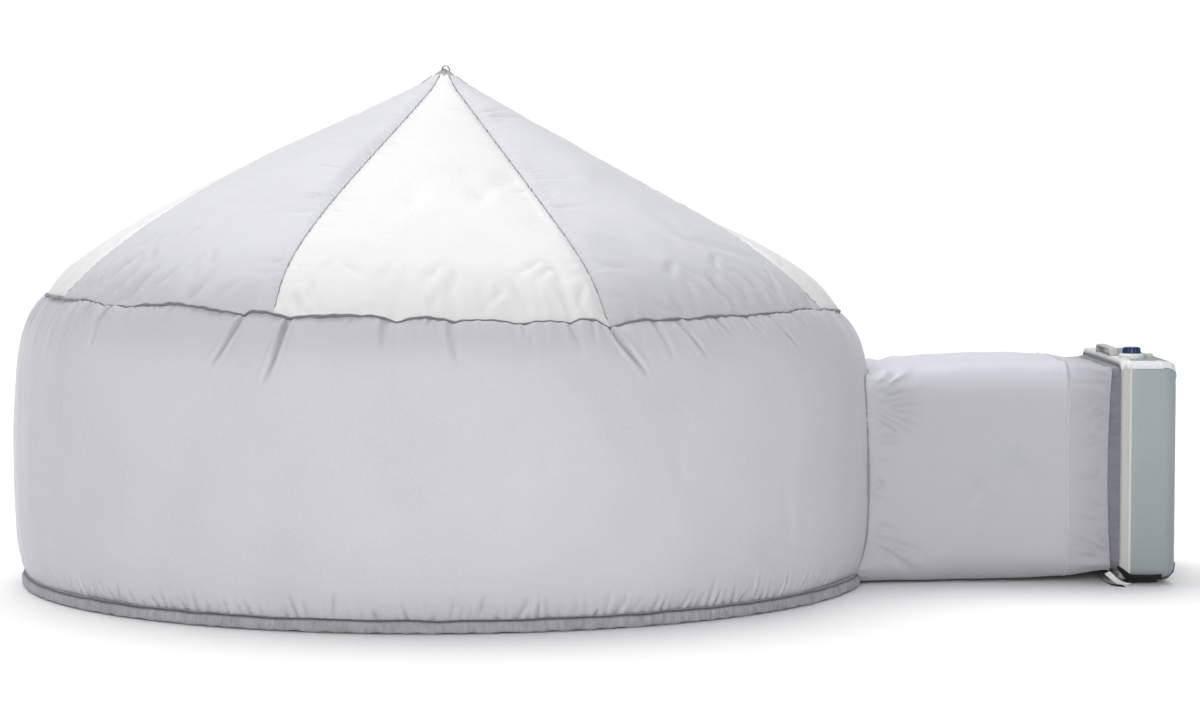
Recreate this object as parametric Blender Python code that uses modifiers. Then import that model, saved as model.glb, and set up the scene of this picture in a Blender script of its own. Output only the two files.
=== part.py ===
"""Play tent of thin nylon that a box fan inflates through a square fabric tunnel.

The frame's origin is the centre of the round floor, on the ground. +X runs from the tent to the fan,
+Z is up, and the doorway faces +Y. Everything is in metres.
"""

import math

import bmesh
import bpy
from mathutils import Matrix, Vector

# Tent: driving dimensions
BELLY_RADIUS = 1.042
EAVE_RADIUS = 0.955
EAVE_HEIGHT = 0.673
EAVE_TILT = 0.0195  # the tunnel pulls the eave down on its side by this much
APEX_HEIGHT = 1.228
FABRIC = 0.0012
SEAM_GAP = 0.0005
GORES = 8
SEGMENTS = 48  # straight stretches round the tent, a multiple of 2 * GORES
FOOT_TUCK = 0.062
FOOT_TUCK_HEIGHT = 0.0546
GORE_BULGE = 0.012
FLOOR_THICKNESS = 0.002
HEM_RADIUS = 1.0245
HEM_HEIGHT = 0.030
HEM_THICKNESS = 0.012
APEX_PATCH_RADIUS = 0.045

# Doorway in the wall opposite the viewer's side, and the flap that hangs in it
DOOR_HALF_WIDTH = 0.23
DOOR_BOTTOM = 0.045
DOOR_TOP = 0.585
DOOR_SPRING = 0.36
DOOR_GAP = 0.004
DOOR_BINDING_WIDTH = 0.022

# Tunnel and its collar
TUNNEL_HALF_WIDTH = 0.262
TUNNEL_SWELL = 0.008
TUNNEL_END = 1.592
COLLAR_END = 1.6105
STRAP_THICKNESS = 0.0014
STRAP_LIFT = 0.0012
STRAP_END = 1.712

# Box fan: driving dimensions
FAN_HALF_WIDTH = 0.2635
FAN_BOTTOM = 0.012
FAN_TOP = 0.535
GRILLE_FRONT = 1.611
HOUSING_FRONT = 1.635
HOUSING_REAR = 1.744
CORNER = 0.030
REAR_ROUND = 0.028
SHEET_METAL = 0.0015
AIRWAY_RADIUS = 0.2345
BLADE_RADIUS = 0.222
BLADE_COUNT = 5
SHAFT_RADIUS = 0.004
CLEARANCE = 0.0003
BLADE_PLANE = 1.666  # x of the blade's middle
SIDE_SCREW_X = 1.6275
REAR_GRILLE_FACE = HOUSING_REAR - 0.007
REAR_GRILLE_HALF = 0.247
REAR_SCREW = 0.205  # half the distance between the rear grille's screws
GRILLE_ROWS = 13
GRILLE_RIBS = (-0.11, 0.0, 0.11)  # the upright ribs' places from the middle
SCREW_HOLE = 0.0026
ALONG_X = (0, math.radians(90), 0)  # turns a piece's own Z to the fan's axis

FAN_HALF_HEIGHT = (FAN_TOP - FAN_BOTTOM) / 2
HUB_HEIGHT = (FAN_TOP + FAN_BOTTOM) / 2
KNOB_X = 1.655
KNOB_Y = -0.150
HANDLE_X = 1.6225
RAIL_Y = 0.035

COLOURS = {
    "white_nylon": ((0.90, 0.90, 0.89), 0.62, 0.0),
    "grey_nylon": ((0.62, 0.62, 0.66), 0.62, 0.0),
    "wall_nylon": ((0.52, 0.52, 0.56), 0.62, 0.0),
    "hem_nylon": ((0.32, 0.33, 0.35), 0.70, 0.0),
    "floor_nylon": ((0.30, 0.31, 0.34), 0.70, 0.0),
    "seam_tape": ((0.26, 0.27, 0.30), 0.75, 0.0),
    "white_webbing": ((0.78, 0.78, 0.80), 0.80, 0.0),
    "black_webbing": ((0.02, 0.02, 0.02), 0.80, 0.0),
    "sage_enamel": ((0.32, 0.37, 0.39), 0.40, 0.1),
    "white_plastic": ((0.62, 0.62, 0.60), 0.45, 0.0),
    "grey_plastic": ((0.31, 0.31, 0.30), 0.45, 0.0),
    "blue_plastic": ((0.01, 0.03, 0.08), 0.35, 0.0),
    "dark_plastic": ((0.04, 0.04, 0.045), 0.50, 0.0),
    "bright_steel": ((0.55, 0.55, 0.56), 0.30, 1.0),
    "zinc_steel": ((0.46, 0.47, 0.48), 0.45, 1.0),
    "bronze": ((0.45, 0.30, 0.14), 0.45, 1.0),
    "lead_cover": ((0.03, 0.03, 0.03), 0.60, 0.0),
}


# Scene and object helpers


def clear_scene():
    for obj in list(bpy.data.objects):
        bpy.data.objects.remove(obj, do_unlink=True)


def new_collection(name):
    collection = bpy.data.collections.new(name)
    bpy.context.scene.collection.children.link(collection)
    return collection


def material(name):
    found = bpy.data.materials.get(name)
    if found:
        return found
    colour, roughness, metallic = COLOURS[name]
    made = bpy.data.materials.new(name)
    made.use_nodes = True
    shader = made.node_tree.nodes["Principled BSDF"]
    shader.inputs["Base Color"].default_value = (*colour, 1.0)
    shader.inputs["Roughness"].default_value = roughness
    shader.inputs["Metallic"].default_value = metallic
    return made


def add_object(name, bm, material_name, location=(0, 0, 0), rotation=(0, 0, 0)):
    """A new object of the tent and fan. Its mesh takes over the bmesh."""
    mesh = bpy.data.meshes.new(name)
    bm.to_mesh(mesh)
    bm.free()
    obj = bpy.data.objects.new(name, mesh)
    obj.location = location
    obj.rotation_euler = rotation
    mesh.materials.append(material(material_name))
    PARTS.objects.link(obj)
    return obj


def smooth(obj, angle=35):
    obj.data.shade_smooth()
    obj.data.set_sharp_from_angle(angle=math.radians(angle))


def make_cutter(obj):
    """Turns a finished object into a guide that only a Boolean uses."""
    PARTS.objects.unlink(obj)
    CUTTERS.objects.link(obj)
    obj.hide_render = True
    obj.display_type = "WIRE"


def boolean(obj, other, operation):
    modifier = obj.modifiers.new(operation.title(), "BOOLEAN")
    modifier.operation = operation
    modifier.object = other
    modifier.solver = "EXACT"
    make_cutter(other)


def solidify(obj, thickness, offset=-1):
    modifier = obj.modifiers.new("Thickness", "SOLIDIFY")
    modifier.thickness = thickness
    modifier.offset = offset


def bevel(obj, width):
    modifier = obj.modifiers.new("Rounded edges", "BEVEL")
    modifier.width = width
    modifier.segments = 1
    modifier.limit_method = "ANGLE"


# Shape helpers


def box(name, low, high, material_name, round_edges=0.0):
    size = Vector(high) - Vector(low)
    bm = bmesh.new()
    bmesh.ops.create_cube(bm, size=1.0)
    bmesh.ops.scale(bm, vec=size, verts=bm.verts)
    obj = add_object(name, bm, material_name, (Vector(high) + Vector(low)) / 2)
    if round_edges:
        bevel(obj, round_edges)
        smooth(obj)
    return obj


def rod(name, radius, length, centre, rotation, material_name, sides=20):
    """A cylinder along its own Z, turned by rotation."""
    bm = bmesh.new()
    bmesh.ops.create_cone(
        bm, cap_ends=True, segments=sides, radius1=radius, radius2=radius, depth=length
    )
    obj = add_object(name, bm, material_name, centre, rotation)
    smooth(obj)
    return obj


def turned(name, profile, material_name, location, rotation=(0, 0, 0), ring=False, steps=24):
    """A shape turned round its own Z from (radius, height) points that run down its outer side."""
    bm = bmesh.new()
    points = [bm.verts.new((radius, 0, height)) for radius, height in profile]
    for first, second in zip(points, points[1:]):
        bm.edges.new((first, second))
    if ring:
        bm.edges.new((points[-1], points[0]))
    obj = add_object(name, bm, material_name, location, rotation)
    screw = obj.modifiers.new("Turn", "SCREW")
    screw.steps = steps
    screw.render_steps = steps
    screw.use_merge_vertices = True
    screw.merge_threshold = 0.00005
    screw.use_smooth_shade = True
    return obj


def sheet(name, columns, rows, place, material_name, thickness=FABRIC, closed=False, offset=-1):
    """A grid of columns by rows laid where place(u, v) puts it, u and v from 0 to 1, then thickened."""
    bm = bmesh.new()
    bmesh.ops.create_grid(bm, x_segments=columns, y_segments=rows, size=0.5)
    for vertex in bm.verts:
        vertex.co = place(vertex.co.x + 0.5, vertex.co.y + 0.5)
    if closed:
        bmesh.ops.remove_doubles(bm, verts=bm.verts, dist=0.00001)
    obj = add_object(name, bm, material_name)
    solidify(obj, thickness, offset)
    obj.data.shade_smooth()
    return obj


def rounded_rectangle(half_width, half_height, radius, steps, side_steps=1):
    """Points round a rectangle with round corners, anticlockwise from its right side's top."""
    points = []
    for corner in range(4):
        middle = math.radians(45 + 90 * corner)
        centre_y = math.copysign(half_width - radius, math.cos(middle))
        centre_z = math.copysign(half_height - radius, math.sin(middle))
        for step in range(steps + 1):
            angle = math.radians(90 * corner + 90 * step / steps)
            points.append((centre_y + radius * math.cos(angle), centre_z + radius * math.sin(angle)))
        run = 2 * (half_width, half_height)[corner % 2] - 2 * radius
        start_y, start_z = points[-1]
        for step in range(1, side_steps):
            along = run * step / side_steps
            turn = math.radians(180 + 90 * corner)
            points.append((start_y + along * math.cos(turn), start_z + along * math.sin(turn)))
    return points


def along_x(name, rings, steps, material_name, thickness):
    """A square tube along X. Each ring is x, half width, half height, corner radius and middle height."""
    sections = []
    for x, half_width, half_height, radius, middle in rings:
        outline = rounded_rectangle(half_width, half_height, radius, steps)
        sections.append([Vector((x, y, middle + z)) for y, z in outline])
    columns = len(sections[0])
    rows = len(rings) - 1

    def place(u, v):
        return sections[round(v * rows)][round(u * columns) % columns]

    return sheet(name, columns, rows, place, material_name, thickness, closed=True)


def smooth_curve(points, per_stretch):
    """Points on a Catmull-Rom curve through the given ones."""
    ends = [points[0], *points, points[-1]]
    found = []
    for start in range(len(points) - 1):
        before, first, second, after = (Vector(p) for p in ends[start : start + 4])
        for step in range(per_stretch):
            t = step / per_stretch
            found.append(
                first
                + (second - before) * (t / 2)
                + (before * 2 - first * 5 + second * 4 - after) * (t * t / 2)
                + (first * 3 - before - second * 3 + after) * (t**3 / 2)
            )
    found.append(Vector(points[-1]))
    return found


def tube(name, points, radius, material_name, closed=False, resolution=2):
    curve = bpy.data.curves.new(name, "CURVE")
    curve.dimensions = "3D"
    curve.bevel_depth = radius
    curve.bevel_resolution = resolution
    curve.use_fill_caps = not closed
    spline = curve.splines.new("POLY")
    spline.points.add(len(points) - 1)
    for point, place in zip(spline.points, points):
        point.co = (*place, 1)
    spline.use_cyclic_u = closed
    curve.materials.append(material(material_name))
    obj = bpy.data.objects.new(name, curve)
    PARTS.objects.link(obj)
    return obj


def pivot(name, location, pieces):
    """An empty on a joint's axis that carries the pieces that move together."""
    empty = bpy.data.objects.new(name, None)
    empty.location = location
    PARTS.objects.link(empty)
    for piece in pieces:
        piece.parent = empty
        piece.matrix_parent_inverse = Matrix.Translation(location).inverted()


# The tent's surface


def eave_height(angle):
    return EAVE_HEIGHT - EAVE_TILT * math.cos(angle)


def wall_radius(z, angle):
    """Outer radius of the wall: tucked in at the foot, full at the belly, round below the eave."""
    part = z / eave_height(angle)
    foot = FOOT_TUCK * math.exp(-z / FOOT_TUCK_HEIGHT)
    shoulder = 0.35 * part**3 + 0.65 * part**14
    return BELLY_RADIUS - foot - (BELLY_RADIUS - EAVE_RADIUS) * shoulder


def wall_point(z, angle, out=0.0):
    radius = wall_radius(z, angle) + out
    return Vector((radius * math.cos(angle), radius * math.sin(angle), z))


def roof_point(q, angle, across):
    """A point on a gore: q is its radius over the eave's, across runs from -1 to 1 between the seams."""
    drop = 0.896 * q + 0.104 * q**16
    bulge = GORE_BULGE * math.sin(math.pi * q) ** 2 * (1 - across**2)
    radius = EAVE_RADIUS * q
    height = APEX_HEIGHT - (APEX_HEIGHT - eave_height(angle)) * drop + bulge
    return Vector((radius * math.cos(angle), radius * math.sin(angle), height))


def wall_panel(name, first, last):
    """A stretch of wall between two angles in degrees, left open by half a seam at each side."""
    columns = round((last - first) * SEGMENTS / 360)
    rows = 9
    top = 0.0022

    def place(u, v):
        angle = math.radians(first + (last - first) * u)
        if u in (0.0, 1.0):
            angle += (0.5 - u) * SEAM_GAP / BELLY_RADIUS
        low = FLOOR_THICKNESS + 2 * CLEARANCE
        rise = math.sin(v * math.pi / 2) * 0.6 + v * 0.4
        return wall_point(low + (eave_height(angle) - top - low) * rise, angle)

    return sheet(name, columns, rows, place, "wall_nylon")


def roof_gore(name, middle, material_name):
    half = math.pi / GORES
    columns = SEGMENTS // GORES
    inner = 0.02
    clear_of_wall = 0.0016

    def place(u, v):
        across = 2 * u - 1
        angle = middle + half * across
        q = 1 - (1 - inner) * v**1.5
        point = roof_point(q, angle, across)
        sideways = Vector((-math.sin(angle), math.cos(angle), 0))
        point -= sideways * across * SEAM_GAP / 2 * (abs(across) > 0.99)
        point.z += clear_of_wall
        return point

    return sheet(name, columns, 7, place, material_name)


def build_roof():
    for index in range(GORES):
        colour = ("white", "grey")[index % 2]
        middle = 2 * math.pi * index / GORES
        roof_gore(f"roof_panel_{colour}_{index // 2 + 1}", middle, f"{colour}_nylon")


def build_eave():
    radius = 0.0025
    points = []
    for step in range(SEGMENTS):
        angle = 2 * math.pi * step / SEGMENTS
        away = EAVE_RADIUS + radius + 0.0022
        height = eave_height(angle)
        points.append((away * math.cos(angle), away * math.sin(angle), height))
    tube("eave_binding", points, radius, "seam_tape", closed=True, resolution=1)


def build_apex():
    slope = (APEX_HEIGHT - EAVE_HEIGHT) * 0.896 / EAVE_RADIUS
    under = 0.0040
    thick = 0.0016
    edge = -slope * APEX_PATCH_RADIUS
    profile = [
        (0, under + thick),
        (APEX_PATCH_RADIUS * 0.3, under + thick - slope * APEX_PATCH_RADIUS * 0.3),
        (APEX_PATCH_RADIUS, edge + under + thick),
        (APEX_PATCH_RADIUS, edge + under),
        (0, under),
    ]
    turned("apex_cap", profile, "seam_tape", (0, 0, APEX_HEIGHT), steps=16)
    base = APEX_HEIGHT + under + thick + CLEARANCE
    box(
        "apex_loop",
        (-0.025, -0.004, base),
        (0.025, 0.004, base + 0.014),
        "seam_tape",
        round_edges=0.003,
    )


def build_floor_and_hem():
    bm = bmesh.new()
    bmesh.ops.create_cone(
        bm,
        cap_ends=True,
        segments=SEGMENTS,
        radius1=HEM_RADIUS - 0.0205,
        radius2=HEM_RADIUS - 0.0205,
        depth=FLOOR_THICKNESS,
    )
    add_object("floor_sheet", bm, "floor_nylon", (0, 0, FLOOR_THICKNESS / 2))
    first = math.radians(16)

    def place(u, v):
        angle = first + (2 * math.pi - 2 * first) * u
        radius = HEM_RADIUS - 0.004 * max(0.0, 2 * v - 1)
        return Vector((radius * math.cos(angle), radius * math.sin(angle), HEM_HEIGHT * v))

    sheet("base_hem", 42, 2, place, "hem_nylon", HEM_THICKNESS)


# Doorway


def door_outline(margin, steps=14):
    """(x, z) points round the doorway, anticlockwise seen from -Y, widened by margin."""
    width = DOOR_HALF_WIDTH + margin
    low = DOOR_BOTTOM - margin
    rise = DOOR_TOP - DOOR_SPRING + margin
    points = [(-width, low), (width, low)]
    for step in range(steps + 1):
        angle = math.pi * step / steps
        points.append((width * math.cos(angle), DOOR_SPRING + rise * math.sin(angle) ** 0.8))
    return points


def door_half_width(z):
    if z <= DOOR_SPRING:
        return DOOR_HALF_WIDTH
    part = (z - DOOR_SPRING) / (DOOR_TOP - DOOR_SPRING)
    return DOOR_HALF_WIDTH * math.sqrt(max(0.0, 1 - part**2.5))


def on_back_wall(x, z, out=0.0):
    angle = math.pi / 2
    for _ in range(4):
        angle = math.acos(x / (wall_radius(z, angle) + out))
    return wall_point(z, angle, out)


def build_door(panel):
    bm = bmesh.new()
    corners = [bm.verts.new((x, 0.85, z)) for x, z in door_outline(DOOR_GAP)]
    face = bmesh.ops.contextual_create(bm, geom=corners)["faces"]
    pushed = bmesh.ops.extrude_face_region(bm, geom=face)["geom"]
    moved = [item for item in pushed if isinstance(item, bmesh.types.BMVert)]
    bmesh.ops.translate(bm, vec=(0, 0.35, 0), verts=moved)
    bmesh.ops.recalc_face_normals(bm, faces=bm.faces)
    boolean(panel, add_object("doorway_cutter", bm, "wall_nylon"), "DIFFERENCE")

    def place(u, v):
        z = DOOR_BOTTOM + (DOOR_TOP - DOOR_BOTTOM) * math.sin(v * math.pi / 2)
        return on_back_wall((1 - 2 * u) * door_half_width(z), z)

    flap = sheet("door_flap", 8, 10, place, "wall_nylon", closed=True)
    pivot("door_flap_axis", door_hinge(), [flap])

    inner = binding_edge(DOOR_GAP + 0.003)
    outer = binding_edge(DOOR_GAP + 0.003 + DOOR_BINDING_WIDTH)

    def place_binding(u, v):
        index = round(u * (len(outer) - 1))
        x, z = (inner, outer)[round(v)][index]
        return on_back_wall(x, z, 0.0015)

    sheet("door_binding", len(outer) - 1, 1, place_binding, "seam_tape", FABRIC, offset=1)


def binding_edge(margin, side_steps=6):
    """(x, z) points up one side of the doorway, over its arch and down the other side."""
    arch = door_outline(margin)[2:]
    right = []
    for step in range(side_steps):
        z = DOOR_BOTTOM + (DOOR_SPRING - DOOR_BOTTOM) * step / side_steps
        right.append((arch[0][0], z))
    left = [(-x, z) for x, z in reversed(right)]
    return [*right, *arch, *left]


def door_hinge():
    return Vector((0, wall_radius(DOOR_TOP, math.pi / 2) - FABRIC / 2, DOOR_TOP))


def build_walls():
    wall_panel("wall_front_panel", 172.5, 337.5)
    inlet = wall_panel("wall_inlet_panel", -22.5, 22.5)
    wall_panel("wall_back_right_panel", 22.5, 67.5)
    door = wall_panel("wall_door_panel", 67.5, 112.5)
    wall_panel("wall_back_left_panel", 112.5, 172.5)
    hole = box("inlet_cutter", (0.80, -0.250, 0.014), (1.20, 0.250, 0.500), "wall_nylon")
    bevel(hole, 0.02)
    boolean(inlet, hole, "DIFFERENCE")
    build_door(door)


# Tunnel


def tunnel_ring(part):
    """Half width, bottom, top and corner radius of the tunnel, from the wall at 0 to the fan at 1."""
    full = math.sin(math.pi * part)
    half_width = TUNNEL_HALF_WIDTH + TUNNEL_SWELL * full
    bottom = 0.006 + 0.024 * max(0.0, 2 * part - 1) ** 2
    top = 0.5175 + 0.0045 * part + 0.024 * full
    corner = 0.030 + 0.035 * full
    return half_width, bottom, top, corner


def build_tunnel():
    steps = 4
    side_steps = 5
    rows = 6
    columns = 4 * (steps + side_steps)
    off_wall = 0.006

    def place(u, v):
        half_width, bottom, top, corner = tunnel_ring(v)
        outline = rounded_rectangle(half_width, (top - bottom) / 2, corner, steps, side_steps)
        y, z = outline[round(u * columns) % columns]
        z += (top + bottom) / 2
        start = math.sqrt(wall_radius(z, 0) ** 2 - y**2) + off_wall
        return Vector((start + (TUNNEL_END - start) * v, y, z))

    sheet("tunnel_sleeve", columns, rows, place, "wall_nylon", closed=True)

    half_width, bottom, top, corner = tunnel_ring(1)
    middle = (top + bottom) / 2
    half_height = (top - bottom) / 2
    tuck = 0.005
    rings = [
        (TUNNEL_END + 4 * CLEARANCE, half_width, half_height, corner, middle),
        (TUNNEL_END + 0.008, half_width - tuck, half_height - tuck, corner, middle),
        (COLLAR_END, half_width - tuck / 2, half_height - tuck / 2, corner, middle),
    ]
    along_x("tunnel_collar", rings, steps, "hem_nylon", FABRIC)


# Straps over the fan's corners


def corner_strip(name, side, up, lean, path, width, material_name):
    """A strip along one long corner of the fan, through (x, height over the corner's rounding) points.

    Lean is the angle round the corner at which it lies, from 0 on the side to 90 on the top or underside.
    """
    across = math.cos(math.radians(lean))
    along = math.sin(math.radians(lean))

    def place(u, v):
        x, out = path[round(v * (len(path) - 1))]
        sideways = (u - 0.5) * width
        y = FAN_HALF_WIDTH - CORNER + (CORNER + out) * across + sideways * along
        z = FAN_HALF_HEIGHT - CORNER + (CORNER + out) * along - sideways * across
        return Vector((x, side * y, HUB_HEIGHT + up * z))

    outward = -1 if side * up > 0 else 1
    return sheet(name, 1, len(path) - 1, place, material_name, STRAP_THICKNESS, offset=outward)


def strap(name, side, up, lean, start_out, width, material_name):
    """Webbing from the tunnel's collar, up the grille's front edge and back to its hook."""
    path = [
        (TUNNEL_END + 0.008, start_out),
        (COLLAR_END - 0.0030, start_out + 0.0005),
        (COLLAR_END - 0.0022, STRAP_LIFT - 0.004),
        (GRILLE_FRONT + 0.001, STRAP_LIFT),
        (HOUSING_FRONT, STRAP_LIFT),
        ((HOUSING_FRONT + STRAP_END) / 2, STRAP_LIFT),
        (STRAP_END, STRAP_LIFT),
    ]
    corner_strip(name, side, up, lean, path, width, material_name)


def strap_hook(name, side, up, lean):
    """A bent steel strip that takes the strap over the rear edge to the lip."""
    turn = HOUSING_REAR - REAR_ROUND
    rear = HOUSING_REAR + 2 * CLEARANCE
    path = [(STRAP_END + 0.0004, STRAP_LIFT), (turn, STRAP_LIFT)]
    for degrees in (30, 60, 90):
        angle = math.radians(degrees)
        bend = REAR_ROUND + STRAP_LIFT
        path.append((turn + bend * math.sin(angle), bend * math.cos(angle) - REAR_ROUND))
    path.append((rear + STRAP_LIFT, -REAR_ROUND * 1.3))
    corner_strip(name, side, up, lean, path, 0.020, "zinc_steel")


def build_straps():
    for side, where in ((-1, "near"), (1, "far")):
        strap(f"strap_top_{where}", side, 1, 45, -0.012, 0.025, "white_webbing")
        strap(f"strap_bottom_{where}", side, -1, 67.5, -0.019, 0.018, "black_webbing")
        strap_hook(f"strap_hook_top_{where}", side, 1, 45)
        strap_hook(f"strap_hook_bottom_{where}", side, -1, 67.5)


# Fan


def grille_slots(name, x_low, x_high, radius, rows, ribs):
    """One mesh of slot cutters: rows of flat slots inside a circle, broken by upright ribs."""
    pitch = 2 * radius / rows
    rib = 0.006
    bm = bmesh.new()
    for row in range(rows):
        z = (row - (rows - 1) / 2) * pitch
        half = math.sqrt(radius**2 - (abs(z) + pitch * 0.3) ** 2)
        edges = [-half, *(y for y in ribs if abs(y) < half - 0.02), half]
        for left, right in zip(edges, edges[1:]):
            made = bmesh.ops.create_cube(bm, size=1.0)["verts"]
            size = (x_high - x_low, right - left - rib, pitch * 0.6)
            bmesh.ops.scale(bm, vec=size, verts=made)
            bmesh.ops.translate(bm, vec=((x_low + x_high) / 2, (left + right) / 2, z), verts=made)
    return add_object(name, bm, "white_plastic", (0, 0, HUB_HEIGHT))


def solid_square(name, x_low, x_high, half_width, half_height, radius, middle, material_name):
    """A solid rounded square between two planes across X."""
    steps = 4
    bm = bmesh.new()
    outline = rounded_rectangle(half_width, half_height, radius, steps)
    corners = [bm.verts.new((x_low, y, middle + z)) for y, z in outline]
    face = bmesh.ops.contextual_create(bm, geom=corners)["faces"]
    pushed = bmesh.ops.extrude_face_region(bm, geom=face)["geom"]
    moved = [item for item in pushed if isinstance(item, bmesh.types.BMVert)]
    bmesh.ops.translate(bm, vec=(x_high - x_low, 0, 0), verts=moved)
    bmesh.ops.recalc_face_normals(bm, faces=bm.faces)
    return add_object(name, bm, material_name)


def small_screw(name, place, rotation):
    """A pan-head screw whose head sits proud of place, its shank running back into the hole."""
    profile = [
        (0, 0.0024),
        (0.0028, 0.0020),
        (0.0042, 0.0004),
        (0.0020, CLEARANCE),
        (0.0020, -0.009),
        (0, -0.010),
    ]
    turned(name, profile, "zinc_steel", place, rotation, steps=10)


def build_front_grille():
    """One moulding: a square pan open to the rear, its face cut into slots."""
    rear = HOUSING_FRONT - CLEARANCE
    face = 0.003
    wall = 0.0025
    outline = (FAN_HALF_WIDTH, FAN_HALF_HEIGHT, CORNER, HUB_HEIGHT)
    grille = solid_square("front_grille", GRILLE_FRONT, rear, *outline, "white_plastic")
    pocket = solid_square(
        "grille_pocket",
        GRILLE_FRONT + face,
        rear + 0.01,
        FAN_HALF_WIDTH - wall,
        FAN_HALF_HEIGHT - wall,
        CORNER - wall,
        HUB_HEIGHT,
        "white_plastic",
    )
    boolean(grille, pocket, "DIFFERENCE")
    ends = (GRILLE_FRONT - 0.01, GRILLE_FRONT + 0.008)
    slots = grille_slots("front_slots", *ends, 0.232, GRILLE_ROWS, GRILLE_RIBS)
    boolean(grille, slots, "DIFFERENCE")
    for side, where in ((-1, "near"), (1, "far")):
        middle = (SIDE_SCREW_X, side * FAN_HALF_WIDTH, HUB_HEIGHT)
        flat = (math.radians(90), 0, 0)
        hole = rod(f"screw_hole_{where}", SCREW_HOLE, 0.012, middle, flat, "white_plastic", 10)
        boolean(grille, hole, "DIFFERENCE")
        small_screw(f"grille_side_screw_{where}", middle, (math.radians(-90 * side), 0, 0))


def build_rear_grille():
    high = REAR_GRILLE_FACE
    low = high - 0.004
    outline = (REAR_GRILLE_HALF, REAR_GRILLE_HALF - 0.002, 0.024, HUB_HEIGHT)
    grille = solid_square("rear_grille", low, high, *outline, "dark_plastic")
    slots = grille_slots("rear_slots", low - 0.01, high + 0.01, 0.226, GRILLE_ROWS, GRILLE_RIBS)
    boolean(grille, slots, "DIFFERENCE")
    index = 0
    for y in (-REAR_SCREW, REAR_SCREW):
        for z in (-REAR_SCREW, REAR_SCREW):
            index += 1
            middle = (high, y, HUB_HEIGHT + z)
            hole = rod(f"rear_hole_{index}", SCREW_HOLE, 0.02, middle, ALONG_X, "zinc_steel", 10)
            boolean(grille, hole, "DIFFERENCE")
            small_screw(f"rear_screw_{index}", middle, ALONG_X)


def build_housing():
    """Sheet-metal wrap, straight to its rear edge, which rolls in to a narrow lip."""
    rings = [(HOUSING_FRONT, 0.0), ((HOUSING_FRONT + HOUSING_REAR - REAR_ROUND) / 2, 0.0)]
    for degrees in (0, 30, 60, 90):
        angle = math.radians(degrees)
        x = HOUSING_REAR - REAR_ROUND + REAR_ROUND * math.sin(angle)
        rings.append((x, REAR_ROUND * (1 - math.cos(angle))))
    rings.append((HOUSING_REAR, REAR_ROUND + 0.010))
    sections = []
    for x, inset in rings:
        corner = max(CORNER - inset, 0.006)
        size = (FAN_HALF_WIDTH - inset, FAN_HALF_HEIGHT - inset)
        sections.append((x, *size, corner, HUB_HEIGHT))
    along_x("fan_housing", sections, 4, "sage_enamel", SHEET_METAL)


def build_venturi():
    outer = 0.2590
    wall = 0.002
    long = 0.050
    profile = [
        (AIRWAY_RADIUS, long),
        (AIRWAY_RADIUS + wall, long),
        (AIRWAY_RADIUS + wall, wall),
        (outer, wall),
        (outer, 0),
        (AIRWAY_RADIUS, 0),
    ]
    place = (HOUSING_FRONT + 0.006, 0, HUB_HEIGHT)
    turned("venturi_ring", profile, "white_plastic", place, ALONG_X, ring=True, steps=32)


def blade_surface(u, v, turn):
    """One blade: v from hub to tip, u across its chord, twisted less towards the tip."""
    root = 0.026
    radius = root + (BLADE_RADIUS - root) * v
    chord_angle = math.radians(56 - 8 * v)
    half_depth = 0.0145 + 0.003 * math.sin(math.pi * v)
    lean = math.radians(10) * v
    across = u - 0.5
    angle = turn + chord_angle * across + lean
    x = BLADE_PLANE + 2 * half_depth * across + 0.004 * (1 - 4 * across**2)
    return Vector((x, radius * math.sin(angle), HUB_HEIGHT + radius * math.cos(angle)))


def build_blade():
    bore = SHAFT_RADIUS + CLEARANCE
    profile = [(bore, 0.018), (0.026, 0.018), (0.031, 0.014), (0.031, -0.018), (bore, -0.018)]
    place = (BLADE_PLANE, 0, HUB_HEIGHT)
    hub = turned("fan_blade", profile, "white_plastic", place, ALONG_X, ring=True, steps=30)
    for index in range(BLADE_COUNT):
        turn = 2 * math.pi * index / BLADE_COUNT

        def place_blade(u, v, turn=turn):
            return blade_surface(u, v, turn)

        blade = sheet(f"blade_{index + 1}", 5, 5, place_blade, "white_plastic", 0.0022, offset=0)
        boolean(hub, blade, "UNION")
    return hub


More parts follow.
